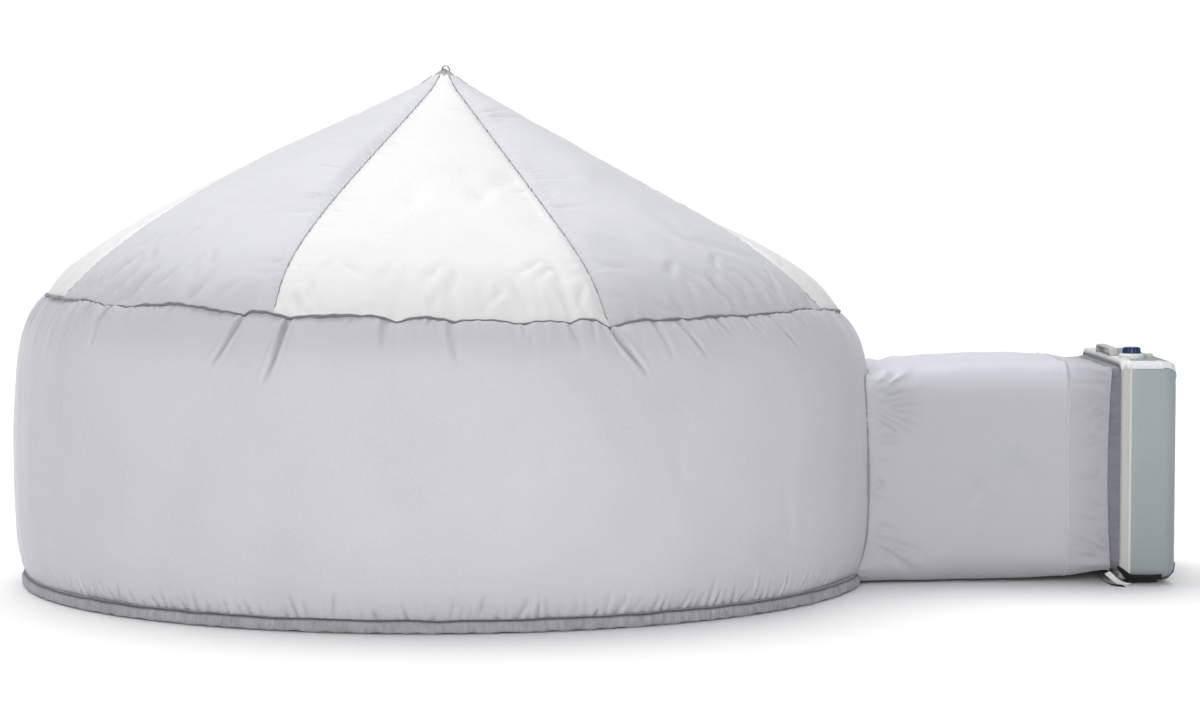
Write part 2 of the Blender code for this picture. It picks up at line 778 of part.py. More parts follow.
def build_motor():
    def at(x):
        return Vector((x, 0, HUB_HEIGHT))

    bearing_outer = 0.0085
    bell_bore = bearing_outer + CLEARANCE
    front_bell = [
        (0.0300, 0.012),
        (0.0420, 0.012),
        (0.0420, 0.003),
        (0.0360, 0.000),
        (bell_bore, -0.002),
        (bell_bore, 0.005),
        (0.0300, 0.005),
    ]
    turned("motor_front_bell", front_bell, "zinc_steel", at(1.688), ALONG_X, ring=True)
    rear_bell = [(radius, -height) for radius, height in reversed(front_bell)]
    turned("motor_rear_bell", rear_bell, "zinc_steel", at(1.7205), ALONG_X, ring=True)
    stator = [(0.0295, 0.0075), (0.0415, 0.0075), (0.0415, -0.0001), (0.0295, -0.0001)]
    turned("motor_stator", stator, "bright_steel", at(1.7006), ALONG_X, ring=True)
    bearing_bore = SHAFT_RADIUS + 0.0002
    bearing = [
        (bearing_bore, 0.006),
        (bearing_outer, 0.006),
        (bearing_outer, 0),
        (bearing_bore, 0),
    ]
    turned("bearing_front", bearing, "bronze", at(1.6865), ALONG_X, ring=True, steps=16)
    turned("bearing_rear", bearing, "bronze", at(1.7155), ALONG_X, ring=True, steps=16)
    shaft = rod("motor_shaft", SHAFT_RADIUS, 0.079, at(1.6830), ALONG_X, "bright_steel", 16)
    rotor_bore = SHAFT_RADIUS + CLEARANCE
    rotor_profile = [(rotor_bore, 0.020), (0.0285, 0.020), (0.0285, 0), (rotor_bore, 0)]
    rotor = turned("motor_rotor", rotor_profile, "bright_steel", at(1.6943), ALONG_X, ring=True)
    nut_profile = [
        (SHAFT_RADIUS + CLEARANCE, 0.007),
        (0.011, 0.007),
        (0.011, 0.001),
        (0.007, 0),
        (SHAFT_RADIUS + CLEARANCE, 0),
    ]
    nut = turned("blade_nut", nut_profile, "dark_plastic", at(1.6405), ALONG_X, ring=True, steps=12)
    pivot("fan_rotor_axis", at(BLADE_PLANE), [build_blade(), shaft, rotor, nut])
    rail_inset = 0.003
    for side, where in ((-1, "near"), (1, "far")):
        low = (1.7228, side * RAIL_Y - 0.008, FAN_BOTTOM + SHEET_METAL + rail_inset)
        high = (1.7248, side * RAIL_Y + 0.008, FAN_TOP - SHEET_METAL - rail_inset)
        box(f"motor_rail_{where}", low, high, "zinc_steel")


def build_controls():
    """Rotary switch under the top, its plate above it, and the knob that turns about Z."""
    plate_height = 0.0125
    knob_base = FAN_TOP + plate_height + 2 * CLEARANCE
    stem = 0.003
    hole = rod(
        "stem_hole", stem + 0.002, 0.02, (KNOB_X, KNOB_Y, FAN_TOP), (0, 0, 0), "sage_enamel", 12
    )
    boolean(bpy.data.objects["fan_housing"], hole, "DIFFERENCE")
    plate = [
        (stem + 0.001, plate_height),
        (0.026, plate_height),
        (0.031, plate_height - 0.004),
        (0.031, 0),
        (stem + 0.001, 0),
    ]
    place = (KNOB_X, KNOB_Y, FAN_TOP + CLEARANCE)
    turned("knob_plate", plate, "white_plastic", place, ring=True)
    knob = [
        (0, 0.0145),
        (0.0185, 0.0145),
        (0.0215, 0.0115),
        (0.0225, 0.0000),
        (stem + CLEARANCE, 0.0),
        (stem + CLEARANCE, 0.008),
        (0, 0.008),
    ]
    cap = turned("control_knob", knob, "blue_plastic", (KNOB_X, KNOB_Y, knob_base))
    switch_top = FAN_TOP - SHEET_METAL - CLEARANCE
    switch_low = switch_top - 0.022
    stem_low = switch_top - 0.006
    stem_high = knob_base + 0.0077
    middle = (KNOB_X, KNOB_Y, (stem_low + stem_high) / 2)
    shaft = rod("switch_shaft", stem, stem_high - stem_low, middle, (0, 0, 0), "bright_steel", 12)
    pivot("knob_axis", (KNOB_X, KNOB_Y, knob_base), [cap, shaft])
    switch = box(
        "rotary_switch",
        (KNOB_X - 0.010, KNOB_Y - 0.016, switch_low),
        (KNOB_X + 0.010, KNOB_Y + 0.016, switch_top),
        "dark_plastic",
        round_edges=0.002,
    )
    socket = rod(
        "switch_socket", stem + 0.0004, 0.0140, (KNOB_X, KNOB_Y, switch_top), (0, 0, 0), "bronze", 12
    )
    boolean(switch, socket, "DIFFERENCE")
    gland = [
        (0, 0.0125),
        (0.0060, 0.0120),
        (0.0095, 0.0085),
        (0.0105, 0.0030),
        (0.0105, 0),
        (0, 0),
    ]
    beside = (KNOB_X + 0.0425, KNOB_Y, FAN_TOP + CLEARANCE)
    turned("cord_gland", gland, "dark_plastic", beside, steps=16)


def build_handle():
    """A low arch over the fan's front edge, with room for fingers under it."""
    half = 0.090
    low = FAN_TOP + CLEARANCE
    high = 0.5605
    handle = box(
        "carry_handle", (HANDLE_X - 0.011, -half, low), (HANDLE_X + 0.011, half, high), "grey_plastic"
    )
    bevel(handle, 0.004)
    gap = box(
        "finger_gap",
        (HANDLE_X - 0.03, -half + 0.012, low - 0.01),
        (HANDLE_X + 0.03, half - 0.012, high - 0.0065),
        "grey_plastic",
    )
    boolean(handle, gap, "DIFFERENCE")


def build_feet_and_lead():
    for side, where in ((-1, "near"), (1, "far")):
        y = side * 0.195
        low = (HOUSING_FRONT + 0.004, y - 0.015, 0)
        high = (HOUSING_REAR - REAR_ROUND - 0.004, y + 0.015, FAN_BOTTOM - CLEARANCE)
        box(f"foot_{where}", low, high, "dark_plastic", round_edges=0.002)
    route = [
        (1.6655, KNOB_Y, 0.520),
        (1.680, KNOB_Y + 0.006, 0.521),
        (1.706, KNOB_Y + 0.030, 0.522),
        (1.713, -0.090, 0.520),
        (1.713, -0.062, 0.490),
        (1.713, -0.055, 0.420),
        (1.713, -0.054, 0.350),
        (1.713, -0.050, 0.300),
        (1.7128, -0.0435, 0.278),
    ]
    tube("motor_lead", smooth_curve(route, 3), 0.0022, "lead_cover")


def main():
    build_roof()
    build_eave()
    build_apex()
    build_floor_and_hem()
    build_walls()
    build_tunnel()
    build_straps()
    build_housing()
    build_front_grille()
    build_rear_grille()
    build_venturi()
    build_motor()
    build_controls()
    build_handle()
    build_feet_and_lead()


clear_scene()
PARTS = new_collection("inflatable_play_tent")
CUTTERS = new_collection("cutters")
main()
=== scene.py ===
import math

import bmesh
import bpy
import numpy as np
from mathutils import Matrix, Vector


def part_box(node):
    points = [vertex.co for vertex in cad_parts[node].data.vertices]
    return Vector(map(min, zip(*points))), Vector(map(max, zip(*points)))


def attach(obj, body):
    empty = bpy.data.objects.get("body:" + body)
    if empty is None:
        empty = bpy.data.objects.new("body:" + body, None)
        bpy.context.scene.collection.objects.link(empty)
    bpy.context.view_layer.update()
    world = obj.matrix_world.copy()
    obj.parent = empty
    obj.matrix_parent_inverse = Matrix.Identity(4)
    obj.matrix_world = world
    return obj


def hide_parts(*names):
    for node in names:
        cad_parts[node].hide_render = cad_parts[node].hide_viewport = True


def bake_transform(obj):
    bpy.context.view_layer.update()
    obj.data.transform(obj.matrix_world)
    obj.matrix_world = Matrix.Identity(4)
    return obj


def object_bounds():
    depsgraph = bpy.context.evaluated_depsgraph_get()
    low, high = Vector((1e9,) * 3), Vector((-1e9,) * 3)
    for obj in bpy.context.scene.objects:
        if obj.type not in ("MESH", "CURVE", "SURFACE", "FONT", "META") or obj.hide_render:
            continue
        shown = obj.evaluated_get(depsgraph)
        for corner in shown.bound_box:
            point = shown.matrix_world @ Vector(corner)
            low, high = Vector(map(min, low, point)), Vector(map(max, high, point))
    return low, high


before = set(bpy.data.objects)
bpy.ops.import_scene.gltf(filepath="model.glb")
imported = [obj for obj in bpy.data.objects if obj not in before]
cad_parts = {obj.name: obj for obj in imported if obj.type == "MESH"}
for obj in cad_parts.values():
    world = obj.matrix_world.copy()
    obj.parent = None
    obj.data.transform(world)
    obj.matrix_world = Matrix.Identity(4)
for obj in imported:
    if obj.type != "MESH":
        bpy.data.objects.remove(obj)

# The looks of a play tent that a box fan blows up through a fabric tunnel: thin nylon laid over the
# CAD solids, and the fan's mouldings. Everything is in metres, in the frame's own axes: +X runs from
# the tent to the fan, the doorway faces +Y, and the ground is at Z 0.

CAD_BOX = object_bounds()
TURN = 2 * math.pi

ROOT = "tent_and_fan"
ROTOR = "fan_rotor"
SELECTOR = "speed_selector"

# The tent's surface, by the same formulas as its CAD solids
GORES = 8
BELLY_RADIUS = 1.042
EAVE_RADIUS = 0.955
EAVE_HEIGHT = 0.673
EAVE_TILT = 0.0195
APEX_HEIGHT = 1.228
FOOT_TUCK = 0.062
FOOT_TUCK_HEIGHT = 0.0546
SLOPE_LENGTH = 1.11
SLOPE_SHARE = 0.896
EAVE_PUCKERS = 170
FOOT_GATHERS = 236

# How far each gore swells between its seams, and how slack the roof is on two of its sides
GORE_BULGES = (-0.013, 0.012, 0.012, 0.012, 0.012, 0.016, 0.012, 0.012)
GORE_LIFT = 0.0016
FAN_SIDE_SLACK = 0.023
FAR_SIDE_SWELL = 0.011
HEM_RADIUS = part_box("base_hem")[1].y
HEM_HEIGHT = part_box("base_hem")[1].z
FLOOR_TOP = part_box("floor_sheet")[1].z

# The tunnel
TUNNEL_HALF_WIDTH = 0.262
TUNNEL_SWELL = 0.008
TUNNEL_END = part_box("tunnel_sleeve")[1].x
TUNNEL_SEAM = 1.4835

# The doorway
DOOR_HALF_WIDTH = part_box("door_flap")[1].x
DOOR_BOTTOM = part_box("door_flap")[0].z
DOOR_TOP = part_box("door_flap")[1].z
DOOR_SPRING = 0.36
DOOR_GAP = 0.004
BINDING_WIDTH = 0.022

# The fan
FAN_LOW, FAN_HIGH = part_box("fan_housing")
GRILLE_LOW, GRILLE_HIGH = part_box("front_grille")
REAR_LOW, REAR_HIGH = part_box("rear_grille")
FAN_HALF_WIDTH = FAN_HIGH.y
FAN_HALF_HEIGHT = (FAN_HIGH.z - FAN_LOW.z) / 2
HUB_HEIGHT = (FAN_HIGH.z + FAN_LOW.z) / 2
CORNER = 0.030
REAR_ROUND = 0.028
GUARD_HUB = 0.045
GUARD_RINGS = 15
GUARD_SPOKES = 12
BLADE_LOW, BLADE_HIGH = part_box("fan_blade")


# Meshes from grids of points


def steps(full_count):
    return full_count


def arc_lengths(points, closed):
    """Distances in metres along a grid's columns and rows, for its UV map."""
    if closed:
        points = np.concatenate([points, points[:, :1]], axis=1)
    across = np.linalg.norm(np.diff(points, axis=1), axis=2).mean(axis=0)
    along = np.linalg.norm(np.diff(points, axis=0), axis=2).mean(axis=1)
    u = np.concatenate([[0.0], np.cumsum(across)])
    v = np.concatenate([[0.0], np.cumsum(along)])
    return np.stack(np.meshgrid(u, v), axis=2)


def xyz(x, y, z):
    """Points from their coordinates, each an array or a number."""
    return np.stack(np.broadcast_arrays(x, y, z), axis=-1)


def about_z(radius, angle, height):
    """Points round the tent's axis, from +X towards +Y."""
    return xyz(radius * np.cos(angle), radius * np.sin(angle), height)


def about_fan(x, radius, angle):
    """Points round the fan's axis, from +Y upwards."""
    return xyz(x, radius * np.cos(angle), radius * np.sin(angle) + HUB_HEIGHT)


def full_turn(count):
    return np.arange(count) * TURN / count


def unit(vectors):
    return vectors / np.linalg.norm(vectors, axis=-1, keepdims=True)


def past(angle, centre):
    """How far each angle is past the centre, from minus to plus half a turn."""
    return (angle - centre + math.pi) % TURN - math.pi


def corners_of(grid):
    """The four corner values of every cell of a grid, anticlockwise."""
    cells = [grid[:-1, :-1], grid[:-1, 1:], grid[1:, 1:], grid[1:, :-1]]
    stacked = np.stack(cells, axis=2)
    return stacked.reshape(-1, 4, *grid.shape[2:])


def grid_mesh(name, points, closed=False, keep=None, uv=None):
    """An object from rows of points. Closed joins each row's end to its start, keep picks the cells."""
    rows, columns = points.shape[:2]
    index = np.arange(rows * columns).reshape(rows, columns)
    if uv is None:
        uv = arc_lengths(points, closed)
    if closed:
        index = np.hstack([index, index[:, :1]])
    faces = corners_of(index)
    places = corners_of(uv)
    if keep is not None:
        faces = faces[keep.ravel()]
        places = places[keep.ravel()]
    used, faces = np.unique(faces, return_inverse=True)
    mesh = bpy.data.meshes.new(name)
    mesh.from_pydata(points.reshape(-1, 3)[used].tolist(), [], faces.reshape(-1, 4).tolist())
    layer = mesh.uv_layers.new(name="cloth")
    layer.data.foreach_set("uv", places.reshape(-1).astype(np.float32))
    mesh.shade_smooth()
    obj = bpy.data.objects.new(name, mesh)
    bpy.context.scene.collection.objects.link(obj)
    return obj


def push_out(points, amount, closed=False):
    """Moves a grid's points along its normals by amount, in metres."""
    if closed:
        across = np.roll(points, -1, axis=1) - np.roll(points, 1, axis=1)
    else:
        across = np.gradient(points, axis=1)
    normal = unit(np.cross(across, np.gradient(points, axis=0)))
    return points + normal * amount[..., None]


def thicken(obj, thickness, offset=-1):
    modifier = obj.modifiers.new("Thickness", "SOLIDIFY")
    modifier.thickness = thickness
    modifier.offset = offset


def piece(obj, body, material, slot, *nodes):
    """Gives a finished object its material and its body, and hides the CAD nodes that it stands for."""
    obj.data.materials.append(material)
    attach(obj, body)
    if nodes:
        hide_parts(*nodes)
    return obj


def join_meshes(name, parts):
    """One object from several meshes' vertices, faces and UV maps."""
    with bpy.context.temp_override(
        active_object=parts[0], selected_editable_objects=parts, selected_objects=parts
    ):
        bpy.ops.object.join()
    parts[0].name = name
    parts[0].data.name = name
    return parts[0]


# Folds and unevenness


def wander(points, size, seed, waves=20):
    """Smooth seeded unevenness, about -1 to 1, whose features are about size wide."""
    rng = np.random.default_rng(seed)
    total = np.zeros(points.shape[:-1])
    for _ in range(waves):
        direction = rng.normal(size=3)
        direction *= TURN / size * rng.uniform(0.5, 1.2) / np.linalg.norm(direction)
        total += np.cos(points @ direction + rng.uniform(0, TURN))
    return total / math.sqrt(waves)


def fold(u, v, start, end, width, depth, spread=0.0, early=0.8, bend=0.0):
    """A valley from start to end with a soft ridge on each side, wider by spread towards its end.

    The smaller early is, the nearer to its start it is deepest. Bend bows it out to its right.
    """
    run = (end[0] - start[0], end[1] - start[1])
    length = math.hypot(*run)
    along = ((u - start[0]) * run[0] + (v - start[1]) * run[1]) / length**2
    aside = ((u - start[0]) * run[1] - (v - start[1]) * run[0]) / length
    inside = np.clip(along, 0, 1)
    aside = aside + 4 * bend * inside * (1 - inside)
    wide = width * (1 + spread * inside)
    taper = np.sin(math.pi * inside**early) ** 1.1
    valley = np.exp(-((aside / wide) ** 2))
    ridges = np.exp(-((np.abs(aside) / wide - 2.1) ** 2))
    return depth * taper * (0.45 * ridges - valley)


def add_folds(push, angle, height, folds):
    """Adds folds to a round wall. Each is its angle, height, run round, rise, width, depth and bend."""
    for centre, low, run, rise, width, depth, bend in folds:
        away = past(angle[0], centre)
        near = np.abs(away) * BELLY_RADIUS < abs(run) + 5 * width
        u = np.broadcast_to(away[near] * BELLY_RADIUS, height[:, near].shape)
        early = 0.42 if rise < 0 else 0.8
        end = (run, low + rise)
        push[:, near] += fold(u, height[:, near], (0, low), end, width, depth, 0.0, early, bend)


def fade(distance, width):
    """0 on a seam and 1 beyond width from it."""
    share = np.clip(distance / width, 0, 1)
    return share * share * (3 - 2 * share)


# The tent's surface


def eave_dips():
    """Each place where a stitch line pulls the eave down: angle, depth and width on either side."""
    rng = np.random.default_rng(11)
    front = [
        (182.0, 0.013, 16.0, 18.0),
        (205.0, 0.004, 3.0, 3.0),
        (217.0, 0.005, 2.0, 2.0),
        (222.5, 0.010, 5.0, 2.6),
        (233.0, -0.006, 6.0, 7.0),
        (243.2, 0.013, 4.0, 0.7),
        (250.0, 0.013, 2.5, 5.0),
        (264.0, 0.014, 2.2, 2.0),
        (271.8, 0.014, 2.2, 2.0),
        (280.5, 0.016, 4.0, 4.2),
        (287.0, 0.010, 1.4, 1.0),
        (292.4, 0.024, 1.6, 2.6),
        (300.0, 0.007, 3.0, 6.0),
        (330.0, -0.0075, 8.0, 8.0),
        (358.0, 0.019, 13.0, 18.0),
    ]
    back = []
    for step in range(14):
        degrees = 10 + 12.5 * step + rng.uniform(-3, 3)
        back.append((degrees, rng.uniform(0.006, 0.018), rng.uniform(1, 6), rng.uniform(1, 6)))
    return [(*np.radians([angle, before, after]), depth) for angle, depth, before, after in front + back]


EAVE_DIPS = eave_dips()
EAVE_LIFT = 0.010


def eave_height(angle):
    """The eave's height round the tent, with its dips and a little wander."""
    height = EAVE_HEIGHT + EAVE_LIFT - EAVE_TILT * np.cos(angle)
    for centre, before, after, depth in EAVE_DIPS:
        away = past(angle, centre)
        width = np.where(away < 0, before, after)
        height = height - depth * np.exp(-(np.abs(away / width) ** 1.35))
    jitter = 0.0011 * np.cos(37 * angle + 0.7) + 0.0008 * np.cos(71 * angle + 2.1)
    return height + jitter + 0.0006 * np.cos(163 * angle + 3 * np.sin(9 * angle))


def even_eave(angle):
    return EAVE_HEIGHT - EAVE_TILT * np.cos(angle)


def wall_radius(height, angle):
    """The wall's outer radius, with height counted as if the eave were even."""
    part = height / even_eave(angle)
    foot = FOOT_TUCK * np.exp(-height / FOOT_TUCK_HEIGHT)
    shoulder = 0.35 * part**3 + 0.65 * part**14
    return BELLY_RADIUS - foot - (BELLY_RADIUS - EAVE_RADIUS) * shoulder


def wall_points(height, angle):
    """Points on the wall. Heights near the top follow the eave's dips."""
    radius = wall_radius(height, angle)
    part = height / even_eave(angle)
    lowered = height + (eave_height(angle) - even_eave(angle)) * part**8
    return about_z(radius, angle, lowered)


def on_back_wall(x, z, out=0.0):
    """The point of the wall over x and z, on the doorway's side."""
    angle = np.full(np.shape(x), math.pi / 2)
    for _ in range(5):
        angle = np.arccos(x / (wall_radius(z, angle) + out))
    radius = wall_radius(z, angle) + out
    return xyz(x, radius * np.sin(angle), z)


def in_doorway(x, z, margin):
    """Above 0 inside the doorway widened by margin: 1 less the outline's superellipse."""
    width = DOOR_HALF_WIDTH + margin
    rise = DOOR_TOP - DOOR_SPRING + margin
    above = np.maximum(z - DOOR_SPRING, 0) / rise
    return 1 - (np.abs(x) / width) ** 2 - above**2.5


# Fabric pieces


def wall_folds():
    """The wall's folds: some hang from the eave, many short ones stand on the gathered foot."""
    rng = np.random.default_rng(5)
    folds = []

    def hang(degrees, length, run, width, depth, bend=0.0):
        angle = math.radians(degrees)
        folds.append((angle, even_eave(angle) - 0.001, run, -length, width, depth, bend))

    hang(243.4, 0.118, -0.062, 0.0058, 0.0125, 0.004)
    hang(249.8, 0.150, -0.042, 0.0060, 0.0135, 0.009)
    hang(292.0, 0.120, 0.080, 0.0058, 0.0135, -0.002)
    hang(215.2, 0.045, -0.012, 0.0056, 0.0110)
    hang(219.6, 0.095, -0.012, 0.0072, 0.0170)
    hang(224.5, 0.050, -0.020, 0.0056, 0.0040)
    hang(232.0, 0.055, -0.018, 0.0060, 0.0035)
    hang(262.8, 0.080, 0.000, 0.0085, 0.0065)
    hang(271.0, 0.110, 0.018, 0.0085, 0.0048)
    hang(281.0, 0.060, 0.006, 0.0060, 0.0035)
    hang(286.5, 0.070, 0.026, 0.0060, 0.0035)
    hang(298.8, 0.090, 0.030, 0.0075, 0.0048)
    hang(302.4, 0.082, 0.056, 0.0056, 0.0105)
    hang(309.2, 0.050, 0.036, 0.0056, 0.0065)
    hang(315.0, 0.052, 0.034, 0.0056, 0.0060)
    hang(319.8, 0.080, 0.062, 0.0056, 0.0085)
    hang(325.5, 0.050, 0.045, 0.0056, 0.0060)
    for step in range(9):
        hang(188 + 3.2 * step + rng.uniform(-1, 1), rng.uniform(0.06, 0.15), 0.006, 0.0060, 0.0050)
    for step in range(60):
        degrees = 6 * step + rng.uniform(-2.5, 2.5)
        run = rng.uniform(-0.02, 0.02)
        hang(degrees, rng.uniform(0.025, 0.06), run, 0.0052, rng.uniform(0.0015, 0.0035))
    for step in range(26):
        degrees = -22 + 7.6 * step + rng.uniform(-3, 3)
        hang(degrees, rng.uniform(0.05, 0.17), rng.uniform(-0.05, 0.05), 0.0085, rng.uniform(0.003, 0.007))
    count = 250
    for step in range(count):
        angle = TURN * (step + rng.uniform(-0.4, 0.4)) / count
        lean = math.copysign(rng.uniform(0.002, 0.030), math.cos(angle)) * rng.choice([1, 1, -0.5])
        rise = rng.uniform(0.018, 0.075)
        size = rng.uniform(0.0010, 0.0036) * rng.choice([1, 1, -0.8])
        folds.append((angle, HEM_HEIGHT - 0.006, lean, rise, rng.uniform(0.0042, 0.0065), size, 0.0))
    for step in range(20):
        angle = TURN * step / 20 + rng.uniform(-0.1, 0.1)
        run = rng.uniform(-0.12, 0.12)
        size = rng.uniform(0.0012, 0.0026)
        folds.append((angle, rng.uniform(0.12, 0.42), run, rng.uniform(0.08, 0.2), 0.016, size, 0.0))
    return folds


def gather_phase(angle, count):
    """The gathers' phase round the foot: count of them, unevenly spaced."""
    drift = 1.3 * np.sin(7 * angle + 1) + 1.1 * np.sin(19 * angle) + 0.9 * np.sin(43 * angle + 2)
    return count * angle + drift


def build_wall():
    finest = steps(0.198)
    degrees = [np.arange(178, 352, finest), np.arange(352, 538, finest * 1.8)]
    share = [np.linspace(0, 0.15, 14), np.linspace(0.15, 0.7, 19)[1:], np.linspace(0.7, 1, 38)[1:]]
    angle, share = np.meshgrid(np.radians(np.concatenate(degrees)) % TURN, np.concatenate(share))
    rows, columns = angle.shape
    low = FLOOR_TOP + 0.0006
    height = low + (even_eave(angle) - low) * share
    points = wall_points(height, angle)

    push = 0.0030 * wander(points, 0.50, 1) + 0.0012 * wander(points, 0.15, 2)
    push += 0.0007 * np.exp(-(((height - 0.262) / 0.005) ** 2)) * (1 + wander(points, 0.3, 3))
    add_folds(push, angle, height, wall_folds())
    gathers = 0.0022 * np.cos(gather_phase(angle, FOOT_GATHERS)) * (1 + 0.5 * wander(points, 0.12, 4))
    push += gathers * np.exp(-np.maximum(height - 0.02, 0) / 0.020)
    puckers = 0.0013 * np.cos(gather_phase(angle, EAVE_PUCKERS)) * (0.6 + 0.5 * wander(points, 0.2, 6))
    push += puckers * np.exp(-(even_eave(angle) - height) / 0.020)
    push *= fade(even_eave(angle) - height, 0.006)
    beside = fade(-in_doorway(points[..., 0], points[..., 2], BINDING_WIDTH + DOOR_GAP), 0.15)
    push *= np.where(points[..., 1] > 0.6, beside, 1)
    points = push_out(points, push, closed=True)
    points[..., 2] = np.maximum(points[..., 2], FLOOR_TOP - 0.001)

    middle = corners_of(np.concatenate([points, points[:, :1]], axis=1)).mean(axis=1)
    door = (middle[:, 1] > 0) & (in_doorway(middle[:, 0], middle[:, 2], DOOR_GAP + 0.003) > 0)
    door &= middle[:, 2] > DOOR_BOTTOM - DOOR_GAP
    inlet = (middle[:, 0] > 0) & (np.abs(middle[:, 1]) < 0.25)
    inlet &= (middle[:, 2] > 0.014) & (middle[:, 2] < 0.47)
    keep = ~(door | inlet)
    snap_to_doorway(points, keep.reshape(rows - 1, columns))
    wall = grid_mesh("wall_fabric", points, closed=True, keep=keep)
    panels = [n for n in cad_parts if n.startswith("wall_")]
    piece(wall, ROOT, NYLON_WALL, "wall_nylon", *panels)


def snap_to_doorway(points, keep):
    """Moves the wall's points along the doorway's ragged cut onto its smooth outline."""
    kept = np.zeros((points.shape[0] + 1, points.shape[1]), int)
    count = np.zeros_like(kept)
    for row_step in (0, 1):
        for column_step in (0, 1):
            moved = np.roll(keep, column_step, axis=1)
            kept[row_step : row_step + keep.shape[0]] += moved
            count[row_step : row_step + keep.shape[0]] += 1
    kept, count = kept[:-1], count[:-1]
    border = (kept > 0) & (kept < count) & (points[..., 1] > 0.8)
    chosen = points[border]
    x, y, z = chosen.T
    radius = np.hypot(x, y)
    margin = DOOR_GAP
    small = 1e-4
    for _ in range(4):
        value = in_doorway(x, z, margin)
        slope_x = (in_doorway(x + small, z, margin) - value) / small
        slope_z = (in_doorway(x, z + small, margin) - value) / small
        size = np.maximum(slope_x**2 + slope_z**2, 1e-6)
        arch = z > DOOR_BOTTOM + 0.006
        x = np.where(arch, x - value * slope_x / size, x)
        z = np.where(arch, z - value * slope_z / size, DOOR_BOTTOM - margin)
    y = np.sqrt(radius**2 - x**2)
    points[border] = xyz(x, y, z)


# How far each gore seam wanders on its way down, and how far it leans back near the peak
SEAM_DRIFT = np.radians([1.0, -1.5, 1.2, -0.8, -2.5, -3.2, 0.4, 0.5])
SEAM_LEAN = np.radians([10.0, 4.0, -3.0, -9.0, -17.5, 0.0, 0.0, 19.0])


def seam_angle(index, q):
    """The angle of the seam after a gore. Q is the radius over the eave's."""
    drift = SEAM_DRIFT[index] * np.sin(math.pi * q) ** 0.8
    lean = SEAM_LEAN[index] * fade(0.93 - q, 0.48)
    return TURN * (index + 0.5) / GORES + drift + lean


def roof_slack(angle, q):
    """How the roof hangs on the fan's side and swells on the other, in metres."""
    wide = math.radians(25)
    fan_side = np.exp(-((past(angle, 0) / wide) ** 2))
    far_side = np.exp(-((past(angle, math.pi) / wide) ** 2))
    swell = FAR_SIDE_SWELL * far_side * np.sin(math.pi * q**1.8) ** 2
    return swell - FAN_SIDE_SLACK * fan_side * np.sin(math.pi * q**0.75) ** 3


def gore_shape(index, across, q):
    """A gore's points: across runs from -1 to 1 between its seams, q is the radius over the eave's."""
    start = seam_angle((index - 1) % GORES, q)
    end = seam_angle(index, q)
    start = np.where(start > end, start - TURN, start)
    angle = start + (end - start) * (across + 1) / 2
    drop = SLOPE_SHARE * q + (1 - SLOPE_SHARE) * q**16
    bulge = GORE_BULGES[index] * np.sin(math.pi * q) ** 2 * (1 - across**2)
    height = APEX_HEIGHT - (APEX_HEIGHT - even_eave(angle)) * drop + bulge
    height += (eave_height(angle) - even_eave(angle)) * q**14
    height += GORE_LIFT * (1 - q**20)
    height += roof_slack(angle, q)
    return about_z(EAVE_RADIUS * q, angle, height), angle


def seam_ripple(distance_down):
    """The seam's puckers, by the distance from the peak: their phase is uneven."""
    phase = TURN * distance_down / 0.0215
    return phase + 1.2 * np.sin(distance_down * 37) + 0.9 * np.sin(distance_down * 91 + 1)


def seam_valley(from_seam, q):
    """How far a gore dips along its seam. Both neighbours have the same dip there."""
    slope_length = SLOPE_LENGTH * q
    sunk = -0.0042 * np.exp(-((from_seam / 0.011) ** 2)) - 0.0035 * np.exp(-from_seam / 0.035)
    pucker = 0.0011 * np.cos(seam_ripple(slope_length)) * np.exp(-from_seam / 0.022)
    ends = fade(1 - q, 0.03) * fade(q - 0.03, 0.05)
    return (sunk + pucker) * ends


def gore_folds(rng, push, u, v, index):
    """Slanting folds on one gore, in metres: u across from its middle, v up from the eave."""
    half = EAVE_RADIUS * math.sin(math.pi / GORES)
    for _ in range(16):
        place = rng.uniform(-0.9, 0.9) * half
        run = rng.uniform(-0.06, 0.06)
        rise = rng.uniform(0.03, 0.13)
        push += fold(u, v, (place, 0.004), (place + run, rise), 0.0062, rng.uniform(0.002, 0.005), 0.8)
    for _ in range(5):
        place = rng.uniform(-0.7, 0.7) * half
        up = rng.uniform(0.10, 0.20)
        for run in (-rng.uniform(0.03, 0.07), rng.uniform(0.03, 0.07)):
            end = (place + run, up - rng.uniform(0.05, 0.10))
            push += fold(u, v, (place, up), end, 0.0075, rng.uniform(0.0016, 0.0034), 0.8)
    for side in (-1, 1):
        for _ in range(9):
            up = rng.uniform(0.03, 0.9)
            edge = side * half * (1 - up / SLOPE_LENGTH)
            end = (edge - side * rng.uniform(0.05, 0.15), up + rng.uniform(-0.07, 0.03))
            push += fold(u, v, (edge, up), end, 0.0060, rng.uniform(0.0008, 0.0024), 1.6, 0.5)
    for _ in range(5):
        place = rng.uniform(-0.4, 0.4) * half
        up = rng.uniform(0.15, 0.55)
        run = rng.uniform(-0.14, 0.14)
        push += fold(u, v, (place, up), (place + run, up + rng.uniform(0.1, 0.24)), 0.018, 0.0028, 0.4)
    if index in (5, 7):
        lean = 1 if index == 5 else -1
        for step in range(5):
            place = lean * (-0.26 + 0.065 * step)
            push += fold(u, v, (place, 0.006), (place + lean * 0.045, 0.12), 0.0075, 0.0065, 0.8)
        for step in range(4):
            place = lean * (0.02 - 0.05 * step)
            start = (place, 0.27 - 0.02 * step)
            push += fold(u, v, start, (place - lean * 0.09, start[1] - 0.09), 0.010, 0.0032, 0.9)


